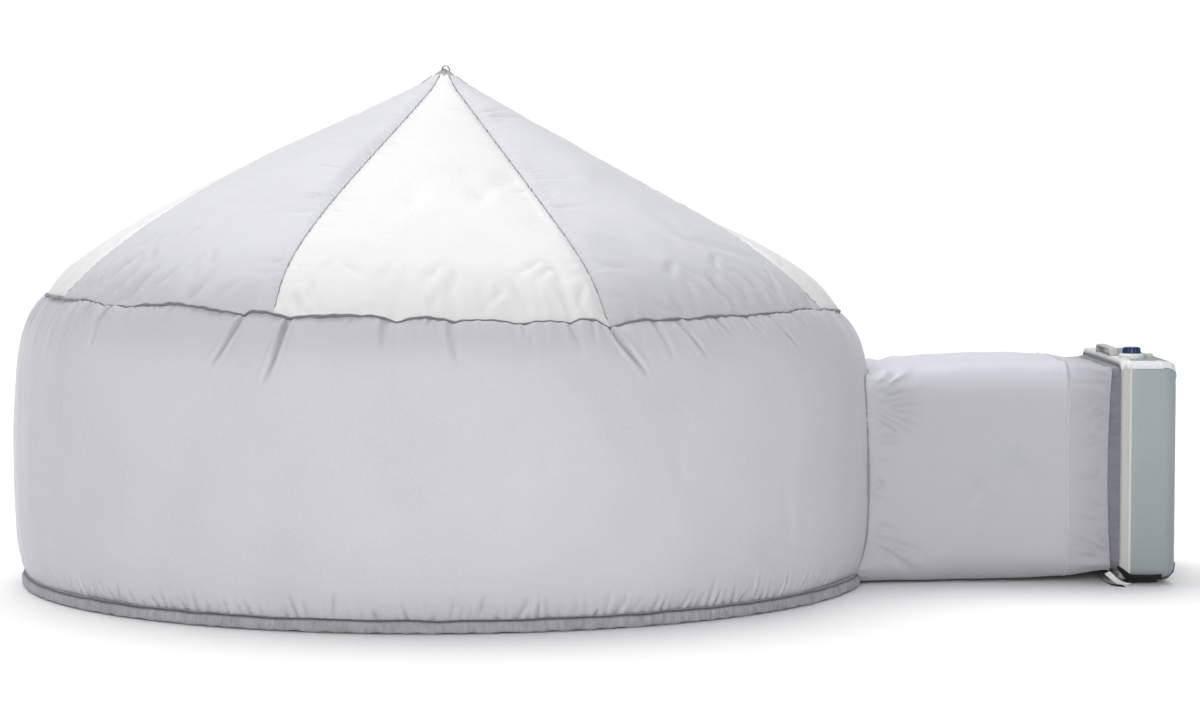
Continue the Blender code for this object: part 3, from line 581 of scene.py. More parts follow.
def build_gores():
    columns = steps(96)
    rows = steps(190)
    spread = np.linspace(-1, 1, columns)
    spread = 0.55 * spread + 0.45 * np.sin(math.pi / 2 * spread)
    across, q = np.meshgrid(spread, np.linspace(1, 0.02, rows))
    for index in range(GORES):
        rng = np.random.default_rng(40 + index)
        points, angle = gore_shape(index, across, q)
        half = EAVE_RADIUS * q * math.sin(math.pi / GORES)
        u = across * half
        v = SLOPE_LENGTH * (1 - q)
        from_seam = (1 - np.abs(across)) * half
        push = 0.0034 * wander(points, 0.45, 60) + 0.0012 * wander(points, 0.13, 61)
        gore_folds(rng, push, u, v, index)
        puckers = 0.0012 * np.cos(gather_phase(angle, EAVE_PUCKERS)) * (0.6 + 0.5 * wander(points, 0.2, 6))
        push += puckers * np.exp(-v / 0.020)
        push *= fade(from_seam, 0.030) * fade(1 - q, 0.006) * fade(q - 0.02, 0.05)
        push += seam_valley(from_seam, q)
        points = push_out(points, push)
        uv = np.stack([u, v], axis=2)
        colour = ("white", "grey")[index % 2]
        gore = grid_mesh(f"roof_gore_{index + 1}", points, uv=uv)
        look = (NYLON_WHITE, NYLON_GREY)[index % 2]
        piece(gore, ROOT, look, f"{colour}_nylon", f"roof_panel_{colour}_{index // 2 + 1}")


def build_roof_seams():
    """The stitched seams between the gores: narrow dark cords that follow the puckers."""
    rows = steps(460)
    across, q = np.meshgrid(np.linspace(-1, 1, 6), np.linspace(0.988, 0.03, rows))
    cords = []
    for index in range(GORES):
        half_width = 0.0014 * (1 + 0.35 * np.sin(q * 97 + index) + 0.25 * np.sin(q * 231))
        points, angle = gore_shape(index, np.full_like(q, 1.0), q)
        sideways = about_z(1, angle + math.pi / 2, 0)
        points = points + sideways * (across * half_width)[..., None]
        rise = 0.0016 * (1 - across**2) + 0.0004
        points = push_out(points, seam_valley(np.abs(across) * half_width, q) + rise)
        uv = np.stack([across * half_width, SLOPE_LENGTH * (1 - q)], axis=2)
        cords.append(grid_mesh(f"roof_seam_{index + 1}", points, uv=uv))
    seams = join_meshes("roof_seams", cords)
    piece(seams, ROOT, NYLON_SEAM, "seam_tape")


def looped_tube(name, path, radius, across, sides=8, flatten=1.0):
    """A closed tube along a loop. Its sections' sides are square to the direction across."""
    forward = unit(np.roll(path, -1, axis=0) - np.roll(path, 1, axis=0))
    side = unit(np.cross(forward, across))
    over = np.cross(side, forward)
    turn = full_turn(sides)[None, :, None]
    points = path[:, None] + radius * (np.cos(turn) * side[:, None] + flatten * np.sin(turn) * over[:, None])
    points[..., 2] = np.maximum(points[..., 2], 0.0010)
    return grid_mesh(name, np.concatenate([points, points[:1]], axis=0), closed=True)


def build_eave():
    """Corded piping over the eave's seam."""
    angle = full_turn(steps(960))
    radius = EAVE_RADIUS + 0.0020 + 0.0009 * np.cos(gather_phase(angle, EAVE_PUCKERS))
    path = about_z(radius, angle, eave_height(angle) - 0.0006)
    thick = 0.0041 * (1 + 0.26 * wander(path, 0.10, 15) + 0.16 * wander(path, 0.03, 16)).clip(0.65, 1.5)
    tape = looped_tube("eave_piping", path, thick[:, None, None], (0.0, 0.0, 1.0), flatten=0.85)
    piece(tape, ROOT, TAPE, "seam_tape", "eave_binding")


def build_apex():
    """The gores' ends bunched into a small crumpled tuft, and the ribbon loop stitched to it."""
    slope = (APEX_HEIGHT - EAVE_HEIGHT) * SLOPE_SHARE / EAVE_RADIUS
    angle, share = np.meshgrid(full_turn(144), np.linspace(1, 0.02, 22))
    crumple = 0.10 * np.cos(8 * angle + 0.6) + 0.06 * np.cos(13 * angle + 2) + 0.04 * np.cos(29 * angle)
    reach = 0.027 * share * (1 + crumple * share)
    top = APEX_HEIGHT + 0.0036 - slope * reach - 0.0030 * fade(share, 1.0) ** 5
    top += 0.0024 * crumple * 6 * np.sin(math.pi * share) + 0.0022 * np.exp(-((share / 0.3) ** 2))
    tuft = grid_mesh("apex_tuft", about_z(reach, angle, top), closed=True)
    thicken(tuft, 0.0008)
    piece(tuft, ROOT, APEX_CLOTH, "grey_nylon", "apex_cap")
    low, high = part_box("apex_loop")
    turn = np.linspace(-0.5, math.pi + 0.5, 31)
    x = 0.0035 + 0.0095 * np.cos(turn)
    z = low.z - 0.0075 + (high.z - low.z) * np.sin(turn).clip(-0.35, 1)
    path = xyz(x, 0.002 * np.cos(2 * turn), z)
    loop = ribbon("apex_ribbon", path, (0.25, 1, 0), 0.0075, 0.0010)
    piece(loop, ROOT, TAPE_DARK, "seam_tape", "apex_loop")


def ribbon(name, path, across, width, thickness, columns=5):
    """A flat strip along a path. Across is its width's direction, one for all or one for each point."""
    share = np.linspace(-0.5, 0.5, columns)
    across = np.broadcast_to(np.asarray(across, float), path.shape)
    points = path[:, None] + share[None, :, None] * width * across[:, None]
    strip = grid_mesh(name, points)
    thicken(strip, thickness, offset=0)
    return strip


def build_hem():
    """The gathered band round the foot, open where the tunnel comes in."""
    columns = steps(3000)
    first = math.asin((TUNNEL_HALF_WIDTH + 0.004) / HEM_RADIUS)
    profile = [
        (-0.0125, 0.0012),
        (-0.0050, 0.0010),
        (-0.0010, 0.0030),
        (0.0000, 0.0085),
        (0.0000, 0.0155),
        (-0.0012, 0.0215),
        (-0.0034, 0.0245),
        (-0.0030, 0.0268),
        (-0.0052, 0.0296),
        (-0.0130, 0.0312),
    ]
    inset, height = np.array(profile).T
    angle, inset = np.meshgrid(np.linspace(first, TURN - first, columns), inset)
    height = np.broadcast_to(height[:, None], angle.shape)
    ring = about_z(1, angle, 0)
    uneven = 1 + 0.45 * wander(ring, 0.09, 21)
    fine = np.cos(gather_phase(angle, 440) + 2.5 * height / HEM_HEIGHT * np.sin(29 * angle)) * uneven
    broad = np.cos(gather_phase(angle, FOOT_GATHERS))
    full = np.sin(math.pi * np.clip(height / HEM_HEIGHT, 0, 1)) ** 0.6
    crinkle = wander(ring * HEM_RADIUS + height[..., None] * (0.4, 0.4, 1), 0.013, 24, 40)
    push = (0.0005 * fine + 0.0009 * broad + 0.0011 * crinkle) * full
    radius = HEM_RADIUS - 0.0006 + inset + push
    scallop = 1 + np.cos(gather_phase(angle, 118) + 0.8) + 0.6 * wander(ring, 0.05, 23)
    lift = 0.0013 * np.clip(scallop, 0, None) * np.exp(-height / 0.005)
    top = 0.0010 * wander(ring, 0.07, 22) * (height > 0.02)
    hem = grid_mesh("hem_gathers", about_z(radius, angle, height + lift + top))
    piece(hem, ROOT, NYLON_HEM, "hem_nylon", "base_hem")


def build_ground_sheet():
    """The coated floor inside, slightly rumpled near its edge."""
    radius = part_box("floor_sheet")[1].x
    angle, share = np.meshgrid(full_turn(180), np.linspace(0.004, 1, 40))
    points = about_z(radius * share, angle, 0.0)
    rumple = 0.0009 * (1 + wander(points, 0.35, 31)) + 0.0006 * (1 + wander(points, 0.1, 32)) * share
    points[..., 2] = 0.0006 + np.clip(rumple, 0, None) * fade(1 - share, 0.05)
    sheet = grid_mesh("ground_sheet", points[::-1], closed=True)
    piece(sheet, ROOT, FLOOR_CLOTH, "floor_nylon", "floor_sheet")


def door_half_width(z):
    part = np.clip((z - DOOR_SPRING) / (DOOR_TOP - DOOR_SPRING), 0, 1)
    return DOOR_HALF_WIDTH * np.sqrt(1 - part**2.5)


def build_door():
    """The flap's cloth, laid on the wall over the doorway, and the tape round the opening."""
    share, rise = np.meshgrid(np.linspace(1, -1, 56), np.linspace(0, 1, 84))
    height = DOOR_BOTTOM + (DOOR_TOP - DOOR_BOTTOM) * np.sin(rise * math.pi / 2)
    x = share * np.maximum(door_half_width(height), 0.004)
    edge = 0.0035 * np.sin(share * 9 + 1) * (1 - rise) ** 6
    points = on_back_wall(x, height)
    points[..., 2] += edge
    hang = 0.0022 * np.sin(x * 34 + 0.8 + 1.5 * rise) * (1 - rise) + 0.0016 * wander(points, 0.16, 51)
    hang += fold(x, height, (-0.15, 0.52), (-0.19, 0.30), 0.009, 0.003)
    hang += fold(x, height, (0.12, 0.55), (0.17, 0.34), 0.009, 0.003)
    hang += fold(x, height, (0.02, 0.40), (-0.05, 0.10), 0.012, 0.002)
    points = push_out(points, hang * fade(1 - rise, 0.12))
    cloth = grid_mesh("door_cloth", points)
    thicken(cloth, 0.0006)
    cloth.data.materials.append(NYLON_DOOR)
    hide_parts("door_flap")
    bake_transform(cloth)

    turn = np.linspace(0, math.pi, 121)
    straight = np.linspace(DOOR_BOTTOM, DOOR_SPRING, 40)[:-1]
    columns = []
    for share in np.linspace(0, 1, 5):
        margin = DOOR_GAP + 0.001 + share * BINDING_WIDTH
        width = DOOR_HALF_WIDTH + margin
        arch_x = width * np.cos(turn)
        arch_z = DOOR_SPRING + (DOOR_TOP - DOOR_SPRING + margin) * np.sin(turn) ** 0.8
        side_x = np.full_like(straight, width)
        x = np.concatenate([side_x, arch_x, -side_x])
        z = np.concatenate([straight, arch_z, straight[::-1]])
        swell = 0.0012 * math.sin(math.pi * share)
        columns.append(on_back_wall(x, z, 0.0026 + swell))
    points = np.stack(columns, axis=1)
    points[..., 1] += 0.0006 * wander(points, 0.03, 55)
    tape = grid_mesh("door_tape", points[:, ::-1])
    thicken(tape, 0.0010)
    piece(tape, ROOT, DOOR_TAPE, "seam_tape", "door_binding")


# The tunnel


def round_square(half_width, half_height, radius, corner_steps, side_steps):
    """Points round a rectangle with round corners, anticlockwise seen from +X, from its +Y side's top."""
    points = []
    for corner in range(4):
        middle = math.radians(45 + 90 * corner)
        centre_y = math.copysign(half_width - radius, math.cos(middle))
        centre_z = math.copysign(half_height - radius, math.sin(middle))
        for step in range(corner_steps + 1):
            angle = math.radians(90 * corner + 90 * step / corner_steps)
            points.append((centre_y + radius * math.cos(angle), centre_z + radius * math.sin(angle)))
        run = 2 * (half_width, half_height)[corner % 2] - 2 * radius
        start_y, start_z = points[-1]
        way = math.radians(180 + 90 * corner)
        for step in range(1, side_steps):
            along = run * step / side_steps
            points.append((start_y + along * math.cos(way), start_z + along * math.sin(way)))
    return np.array(points)


def tunnel_ring(part):
    """Half width, bottom, top and corner radius of the tunnel, from the wall at 0 to the fan at 1."""
    full = math.sin(math.pi * part)
    half_width = TUNNEL_HALF_WIDTH + TUNNEL_SWELL * full
    bottom = 0.006 + 0.024 * max(0.0, 2 * part - 1) ** 2
    top = 0.5175 + 0.0045 * part + 0.018 * full - 0.018 * (1 - part) ** 4
    corner = 0.032 + 0.058 * full**0.7
    return half_width, bottom, top, corner


def tunnel_folds(x, z, side):
    """Folds on a side of the tunnel: ridges that run from its pinched corners, and gathers at the wall."""
    rng = np.random.default_rng(71 if side < 0 else 72)
    push = np.zeros_like(x)
    wall_x = 1.035
    end_x = TUNNEL_END - 0.006
    fans = [
        (end_x, 0.484, -1, (-0.95, -0.62, -0.34, -0.10, 0.16)),
        (wall_x, 0.432, 1, (0.95, 0.50, 0.12, -0.28, -0.70)),
        (wall_x, 0.130, 1, (-0.85, -0.40)),
        (end_x, 0.055, -1, (0.45, 0.15)),
    ]
    for from_x, from_z, way, slopes in fans:
        for slope in slopes:
            length = rng.uniform(0.08, 0.15)
            start_z = from_z + 0.030 * slope
            end = (from_x + way * length, start_z + length * slope)
            depth = rng.uniform(0.0055, 0.0085)
            push += fold(x, z, (from_x - way * 0.012, start_z), end, 0.0050, depth, 1.6, 0.6)
    for from_z in (0.475, 0.44, 0.40, 0.345, 0.30, 0.25, 0.20, 0.15, 0.11, 0.075):
        length = rng.uniform(0.03, 0.085)
        fall = rng.uniform(-0.012, 0.02)
        start = (1.020, from_z + rng.uniform(-0.01, 0.01))
        size = rng.uniform(0.0035, 0.0070)
        push += fold(x, z, start, (start[0] + length, start[1] - fall), 0.006, size, 0.8)
    for step in range(12):
        from_z = 0.06 + 0.036 * step + rng.uniform(-0.01, 0.01)
        length = rng.uniform(0.03, 0.09)
        start = (TUNNEL_END - 0.004, from_z)
        push += fold(x, z, start, (start[0] - length, from_z + rng.uniform(-0.02, 0.02)), 0.006, 0.005, 0.9)
    for _ in range(7):
        start = (rng.uniform(1.12, 1.35), rng.uniform(0.12, 0.42))
        end = (start[0] + rng.uniform(0.05, 0.14), start[1] + rng.uniform(-0.12, 0.12))
        push += fold(x, z, start, end, 0.014, 0.0034, 0.5)
    return push


def build_tunnel():
    corner_steps = steps(18)
    side_steps = steps(58)
    rows = steps(132)
    rings = []
    parts = np.linspace(0, 1, rows)
    parts = 0.6 * parts + 0.2 * (1 - np.cos(math.pi * parts))
    for part in parts:
        half_width, bottom, top, corner = tunnel_ring(part)
        outline = round_square(half_width, (top - bottom) / 2, corner, corner_steps, side_steps)
        y, z = outline.T
        z = z + (top + bottom) / 2
        start = np.sqrt(wall_radius(z, 0.0) ** 2 - y**2) - 0.004
        pull = 0.009 * np.sin(math.pi * np.clip((z - bottom) / (top - bottom), 0, 1)) ** 0.8
        end = TUNNEL_END - 0.003 - pull
        rings.append(xyz(start + (end - start) * part, y, z))
    points = np.array(rings)
    x, y, z = np.moveaxis(points, 2, 0)
    part = parts[:, None]
    push = 0.0022 * wander(points, 0.30, 73) + 0.0008 * wander(points, 0.09, 74)
    for side in (-1, 1):
        on_side = fade(side * y - 0.150, 0.080)
        push += tunnel_folds(x, z, side) * on_side
        push += 0.0045 * np.exp(-(((side * y - 0.245) / 0.03) ** 2)) * (z > 0.4) * np.sin(math.pi * part)
    over = fade(z - 0.47, 0.04)
    for from_x, from_y, to_x, to_y in (
        (1.56, 0.20, 1.30, 0.05),
        (1.56, -0.20, 1.28, -0.04),
        (1.02, -0.20, 1.25, -0.06),
        (1.02, 0.20, 1.25, 0.07),
    ):
        push += over * fold(x, y, (from_x, from_y), (to_x, to_y), 0.012, 0.004, 1.0)
    around = np.arctan2(z - HUB_HEIGHT, y)
    pinch = np.cos(gather_phase(around, 88))
    push += 0.0016 * pinch * np.exp(-part / 0.05) * (1 + 0.5 * wander(points, 0.1, 75))
    push += 0.0013 * np.cos(gather_phase(around, 104)) * np.exp(-(1 - part) / 0.03)
    push -= 0.0050 * fade(x - TUNNEL_SEAM, 0.08)
    push *= fade(z, 0.012) * 0.85 + 0.15
    push = np.where(x > TUNNEL_END - 0.035, np.maximum(push, -0.0070), push)
    points = push_out(points, push, closed=True)
    points[..., 2] -= 0.010 * fade(y - 0.02, 0.22) * fade(z - 0.40, 0.10) * np.sin(math.pi * part) ** 0.5
    points[..., 2] = np.maximum(points[..., 2], 0.0015)
    build_tunnel_seam(points)
    sleeve = grid_mesh("tunnel_cloth", points[::-1], closed=True)
    piece(sleeve, ROOT, NYLON_TUNNEL, "wall_nylon", "tunnel_sleeve")


def build_tunnel_seam(points):
    """The felled seam round the tunnel where its cloth is doubled for the cuff, on the tunnel's own grid."""
    profile = [(-0.0034, 0.0), (-0.0026, 0.0008), (0.0014, 0.0013), (0.0030, 0.0006), (0.0034, -0.0012)]
    rows = []
    for shift, rise in profile:
        ring = []
        for column in np.moveaxis(points, 1, 0):
            ring.append([np.interp(TUNNEL_SEAM + shift, column[:, 0], column[:, axis]) for axis in range(3)])
        ring = np.array(ring)
        ahead = np.roll(ring, -1, axis=0) - np.roll(ring, 1, axis=0)
        rows.append(ring + unit(xyz(0.0, ahead[:, 2], -ahead[:, 1])) * (rise + 0.0004))
    rows = np.array(rows)
    rows[..., 2] = np.maximum(rows[..., 2], 0.0012)
    seam = grid_mesh("tunnel_seam", rows[::-1], closed=True)
    piece(seam, ROOT, NYLON_FELL, "wall_nylon")


def build_tunnel_root():
    """The dark overlocked seam that joins the tunnel to the wall."""
    half_width, bottom, top, corner = tunnel_ring(0)
    y, z = round_square(half_width, (top - bottom) / 2, corner, 10, 60).T
    z = z + (top + bottom) / 2
    path = xyz(np.sqrt(wall_radius(z, 0.0) ** 2 - y**2) + 0.002, y, z)
    path[:, 1:] += 0.0012 * np.stack([wander(path, 0.04, 81), wander(path, 0.04, 82)], axis=1)
    cord = looped_tube("tunnel_root_cord", path, 0.0024, (1.0, 0.0, 0.0))
    piece(cord, ROOT, NYLON_SEAM, "seam_tape")


def build_collar():
    """The dark elastic cuff between the tunnel and the fan, drawn in and pleated."""
    corner_steps = steps(26)
    side_steps = steps(140)
    half_width, bottom, top, corner = tunnel_ring(1)
    outline = round_square(half_width, (top - bottom) / 2, corner, corner_steps, side_steps)
    y, z = outline.T
    middle = (top + bottom) / 2
    bow = 1 - (np.minimum(np.abs(y), np.abs(z)) / half_width) ** 2
    rings = []
    shares = np.linspace(0, 1, 14)
    for share in shares:
        drawn = 0.0024 + 0.0115 * (1 - share) ** 2 + 0.0030 * math.sin(math.pi * share)
        start = TUNNEL_END - 0.016 - 0.0080 * bow
        x = start + (GRILLE_LOW.x - 0.0006 - start) * share
        inset = 1 - drawn / half_width
        rings.append(xyz(x, y * inset, z * inset + middle))
    points = np.array(rings)
    share = shares[:, None]
    around = np.cumsum(np.linalg.norm(np.diff(outline, axis=0, append=outline[:1]), axis=1))[None, :]
    lean = 0.016 * np.sin(around * 5) + 0.008 * np.sin(around * 17 + 1)
    phase = TURN * (around + lean * share) / 0.034 + 2.6 * np.sin(around * 19) + 1.3 * np.sin(around * 47)
    push = 0.0011 * np.cos(phase) * np.sin(math.pi * share) ** 0.5 * (1 + 0.6 * np.sin(around * 11))
    points = push_out(points, push, closed=True)
    collar = grid_mesh("collar_pleats", points[::-1], closed=True)
    thicken(collar, 0.0006)
    piece(collar, ROOT, NYLON_COLLAR, "hem_nylon", "tunnel_collar")


# Straps


def corner_webbing(name, side, up, path, thickness):
    """Webbing round a long corner of the fan. A path point is x, height over the rounding, lean and width."""
    share = np.linspace(-0.5, 0.5, 7)
    rows = []
    for x, out, lean, width in path:
        radius = CORNER + out
        angle = math.radians(lean) + share * width / CORNER * side * up
        y = FAN_HALF_WIDTH - CORNER + radius * np.cos(angle)
        z = FAN_HALF_HEIGHT - CORNER + radius * np.sin(angle)
        rows.append(xyz(x, side * y, HUB_HEIGHT + up * z))
    strip = grid_mesh(name, np.array(rows))
    thicken(strip, thickness, offset=-1)
    return strip


def eased(points, per_stretch):
    """A smooth curve through points of any size (Catmull-Rom)."""
    ends = np.array([points[0], *points, points[-1]], float)
    found = []
    for start in range(len(points) - 1):
        before, first, second, after = ends[start : start + 4]
        for t in np.arange(per_stretch) / per_stretch:
            found.append(
                first
                + (second - before) * (t / 2)
                + (2 * before - 5 * first + 4 * second - after) * (t * t / 2)
                + (3 * first - before - 3 * second + after) * (t**3 / 2)
            )
    found.append(ends[-2])
    return np.array(found)


def build_straps():
    lift = 0.0022
    face = GRILLE_LOW.x
    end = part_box("strap_top_near")[1].x
    for side, where in ((-1, "near"), (1, "far")):
        heights = [
            (face - 0.0004, -0.0085),
            (face - 0.0018, -0.0045),
            (face - 0.0006, 0.0),
            (face + 0.004, lift - 0.0004),
            (face + 0.014, lift),
            (face + 0.045, lift + 0.0006),
            (end - 0.019, lift),
            (end - 0.0165, lift + 0.0010),
            (end - 0.004, lift + 0.0012),
            (end, lift + 0.0004),
        ]
        route = [(x, out, 47, 0.0245) for x, out in heights]
        strap = corner_webbing(f"strap_top_{where}_webbing", side, 1, eased(route, 6), 0.0014)
        piece(strap, ROOT, WEBBING_WHITE, "white_webbing", f"strap_top_{where}")
        route = [
            (face - 0.0060, -0.004, 2, 0.010),
            (face - 0.0010, 0.0015, 8, 0.012),
            (face + 0.008, lift + 0.0022, 22, 0.016),
            (face + 0.018, lift + 0.0035, 42, 0.022),
            (face + 0.030, lift + 0.0050, 56, 0.027),
            (face + 0.060, lift + 0.0060, 58, 0.028),
            (end - 0.02, lift + 0.0050, 58, 0.027),
            (end, lift + 0.0004, 58, 0.026),
        ]
        strap = corner_webbing(f"strap_bottom_{where}_webbing", side, -1, eased(route, 6), 0.0030)
        piece(strap, ROOT, WEBBING_BLACK, "black_webbing", f"strap_bottom_{where}")
    build_tails()


def build_tails():
    """The near straps' free ends, which drop from the cuff's lower corner to the ground."""
    across = Vector((0.80, 0.0, -0.60)).normalized()
    white = [
        (TUNNEL_END - 0.012, -0.2610, 0.030),
        (TUNNEL_END - 0.006, -0.2680, 0.024),
        (TUNNEL_END + 0.006, -0.2760, 0.013),
        (TUNNEL_END + 0.020, -0.2830, 0.0060),
        (TUNNEL_END + 0.034, -0.2900, 0.0045),
    ]
    tail = ribbon("strap_tail_white", eased(white, 6), (0.75, -0.50, 0.40), 0.016, 0.0011)
    piece(tail, ROOT, WEBBING_WHITE, "white_webbing")
    black = [
        (TUNNEL_END - 0.034, -0.2630, 0.026),
        (TUNNEL_END - 0.024, -0.2740, 0.014),
        (TUNNEL_END - 0.006, -0.2860, 0.0045),
        (TUNNEL_END + 0.022, -0.2990, 0.0022),
    ]
    tail = ribbon("strap_tail_black", eased(black, 6), across, 0.0075, 0.0012)
    piece(tail, ROOT, WEBBING_BLACK, "black_webbing")


# The fan


def square_shell(name, rings, thickness):
    """A square tube along X through rings of x and inset from the fan's outside."""
    rows = []
    for x, inset in rings:
        corner = max(CORNER - inset, 0.004)
        size = (FAN_HALF_WIDTH - inset, FAN_HALF_HEIGHT - inset)
        y, z = round_square(*size, corner, 12, 6).T
        rows.append(xyz(x, y, z + HUB_HEIGHT))
    shell = grid_mesh(name, np.array(rows)[::-1], closed=True)
    thicken(shell, thickness)
    return shell


def build_housing():
    """The steel wrap: a rolled front edge, flat sides, and a rear edge that turns in to its lip."""
    front = FAN_LOW.x
    rear = FAN_HIGH.x
    rings = [(front, 0.0010), (front + 0.0008, 0.0003), (front + 0.0020, 0.0)]
    rings += [(front + 0.022, 0.0), (front + 0.045, 0.0), (rear - REAR_ROUND - 0.012, 0.0)]
    for degrees in range(0, 91, 9):
        angle = math.radians(degrees)
        rings.append((rear - REAR_ROUND * (1 - math.sin(angle)), REAR_ROUND * (1 - math.cos(angle))))
    rings.append((rear - 0.0002, REAR_ROUND + 0.008))
    rings.append((rear - 0.0030, REAR_ROUND + 0.010))
    shell = square_shell("housing_shell", rings, 0.0013)
    piece(shell, ROOT, ENAMEL, "sage_enamel", "fan_housing")


def build_bezel():
    """The front moulding's side wall with its rounded edge, and the rim against the housing, which carries a
    painted highlight.
    """
    low = GRILLE_LOW.x
    high = GRILLE_HIGH.x
    rim = high - 0.0048
    rings = [(low, 0.0100), (low + 0.0002, 0.0046), (low + 0.0014, 0.0018), (low + 0.0040, 0.0004)]
    rings += [(low + 0.0075, 0.0), (rim - 0.0012, 0.0), (rim + 0.0020, 0.0)]
    bezel = square_shell("grille_bezel", rings, 0.0022)
    piece(bezel, ROOT, PLASTIC_BEZEL, "white_plastic", "front_grille")
    rings = [(rim, 0.0004), (rim + 0.0004, -0.0004), (rim + 0.0014, -0.0009), (rim + 0.0034, -0.0009)]
    rings += [(high - 0.0006, -0.0002), (high - 0.0002, 0.0016)]
    trim = square_shell("grille_rim", rings, 0.0020)
    piece(trim, ROOT, PLASTIC_RIM, "white_plastic")


def guard_ring(name, x, radius):
    """One of a guard's round wires, deeper than it is wide."""
    turn = full_turn(6)[:, None]
    points = about_fan(x + 0.0013 * 1.3 * np.sin(turn), radius + 0.0013 * np.cos(turn), full_turn(120))
    return grid_mesh(name, np.concatenate([points, points[:1]], axis=0), closed=True)


def guard_spoke(name, x, outer, angle, sweep):
    """A guard's rib from its centre disc to its plate, swept round by an angle on its way."""
    share = np.linspace(0, 1, 15)
    inner = GUARD_HUB - 0.004
    path = about_fan(x, inner + (outer - inner) * share, angle + sweep * share)
    depth = np.array([1.0, 0.0, 0.0])
    side = np.cross(unit(np.gradient(path, axis=0)), depth)
    section = [(-1, -0.6), (-0.6, -1), (0.6, -1), (1, -0.6), (1, 0.6), (0.6, 1), (-0.6, 1), (-1, 0.6)]
    rows = [path + side * (a * 0.0015) + depth * (b * 0.0025) for a, b in section]
    return grid_mesh(name, np.stack(rows, axis=1), closed=True)


def guard_plate(name, x, half, opening):
    """A square plate with round corners and a round opening, its edges rolled over."""
    angle = full_turn(240)
    outline = round_square(half, half - 0.002, 0.024, 30, 30)
    outline_angle = np.arctan2(outline[:, 1], outline[:, 0])
    outer = np.interp(angle, outline_angle, np.hypot(*outline.T), period=TURN)
    section = [(1, 0, 0), (1, -0.0014, 1), (0, 0.0034, 1), (0, 0, 0.7), (0, 0, -1), (1, 0, -1), (1, 0, 0)]
    rows = []
    for share, shift, depth in section:
        radius = opening + (outer - opening) * share + shift
        rows.append(about_fan(x + depth * 0.002, radius, angle))
    return grid_mesh(name, np.array(rows), closed=True)


def build_guard(name, x, half, opening, sweep, material, slot, *nodes):
    """A fan guard: plate, concentric rings, swept spokes and a plain centre disc."""
    parts = [guard_plate(name, x, half, opening)]
    gap = (opening - GUARD_HUB) / (GUARD_RINGS + 1)
    for step in range(GUARD_RINGS):
        parts.append(guard_ring(f"{name}_ring_{step}", x, GUARD_HUB + gap * (step + 1)))
    for step in range(GUARD_SPOKES):
        angle = TURN * step / GUARD_SPOKES
        parts.append(guard_spoke(f"{name}_spoke_{step}", x, opening + 0.004, angle, sweep))
    disc = [(0.002, 0.0012), (0.6, 0.0010), (0.92, 0.0004), (1.0, -0.0016), (0.97, -0.0030), (0.002, -0.0030)]
    rows = [about_fan(x + 0.0016 + depth, GUARD_HUB * share, full_turn(72)) for share, depth in disc]
    parts.append(grid_mesh(f"{name}_disc", np.array(rows)[::-1], closed=True))
    guard = join_meshes(name, parts)
    guard.data.set_sharp_from_angle(angle=math.radians(40))
    piece(guard, ROOT, material, slot, *nodes)


def build_guards():
    front_half = FAN_HALF_WIDTH - 0.006
    build_guard("front_guard", GRILLE_LOW.x + 0.004, front_half, 0.232, 0.35, PLASTIC_WHITE, "white_plastic")
    rear_x = (REAR_LOW.x + REAR_HIGH.x) / 2
    rear_half = REAR_HIGH.y
    build_guard("rear_guard", rear_x, rear_half, 0.226, -0.35, PLASTIC_DARK, "dark_plastic", "rear_grille")


def build_impeller():
    """Five twisted blades with rounded tips on a turned hub."""
    plane = (BLADE_LOW.x + BLADE_HIGH.x) / 2
    root = 0.026
    tip = BLADE_HIGH.y + 0.001
    parts = []
    u, v = np.meshgrid(np.linspace(-0.5, 0.5, 15), np.linspace(0, 1, 18))
    for index in range(5):
        rounded = 1 - 0.10 * np.abs(2 * u) ** 4 * v**4
        radius = root + (tip - root) * v * rounded
        chord = np.radians(56 - 8 * v) * (1 - 0.22 * (1 - v) ** 2)
        depth = 0.0145 + 0.003 * np.sin(math.pi * v)
        angle = TURN * index / 5 + chord * u + math.radians(10) * v
        x = plane + 2 * depth * u + 0.004 * (1 - 4 * u**2)
        blade = grid_mesh(f"blade_{index + 1}", about_fan(x, radius, math.pi / 2 - angle))
        thicken(blade, 0.0022, offset=0)
        parts.append(blade)
    profile = [(0.0043, 0.018), (0.022, 0.018), (0.0285, 0.0165), (0.031, 0.013)]
    profile += [(0.031, -0.018), (0.0043, -0.018), (0.0043, 0.018)]
    angle = math.pi / 2 - full_turn(64)
    rows = [about_fan(plane + x, reach, angle) for reach, x in profile]
    hub = grid_mesh("hub", np.array(rows), closed=True)
    for part in parts:
        apply_modifiers(part)
    impeller = join_meshes("fan_impeller", [hub, *parts])
    impeller.data.set_sharp_from_angle(angle=math.radians(40))
    piece(impeller, ROTOR, PLASTIC_WHITE, "white_plastic", "fan_blade")


def apply_modifiers(obj):
    """Bakes an object's modifiers into its mesh."""
    depsgraph = bpy.context.evaluated_depsgraph_get()
    mesh = bpy.data.meshes.new_from_object(obj.evaluated_get(depsgraph))
    obj.modifiers.clear()
    obj.data = mesh


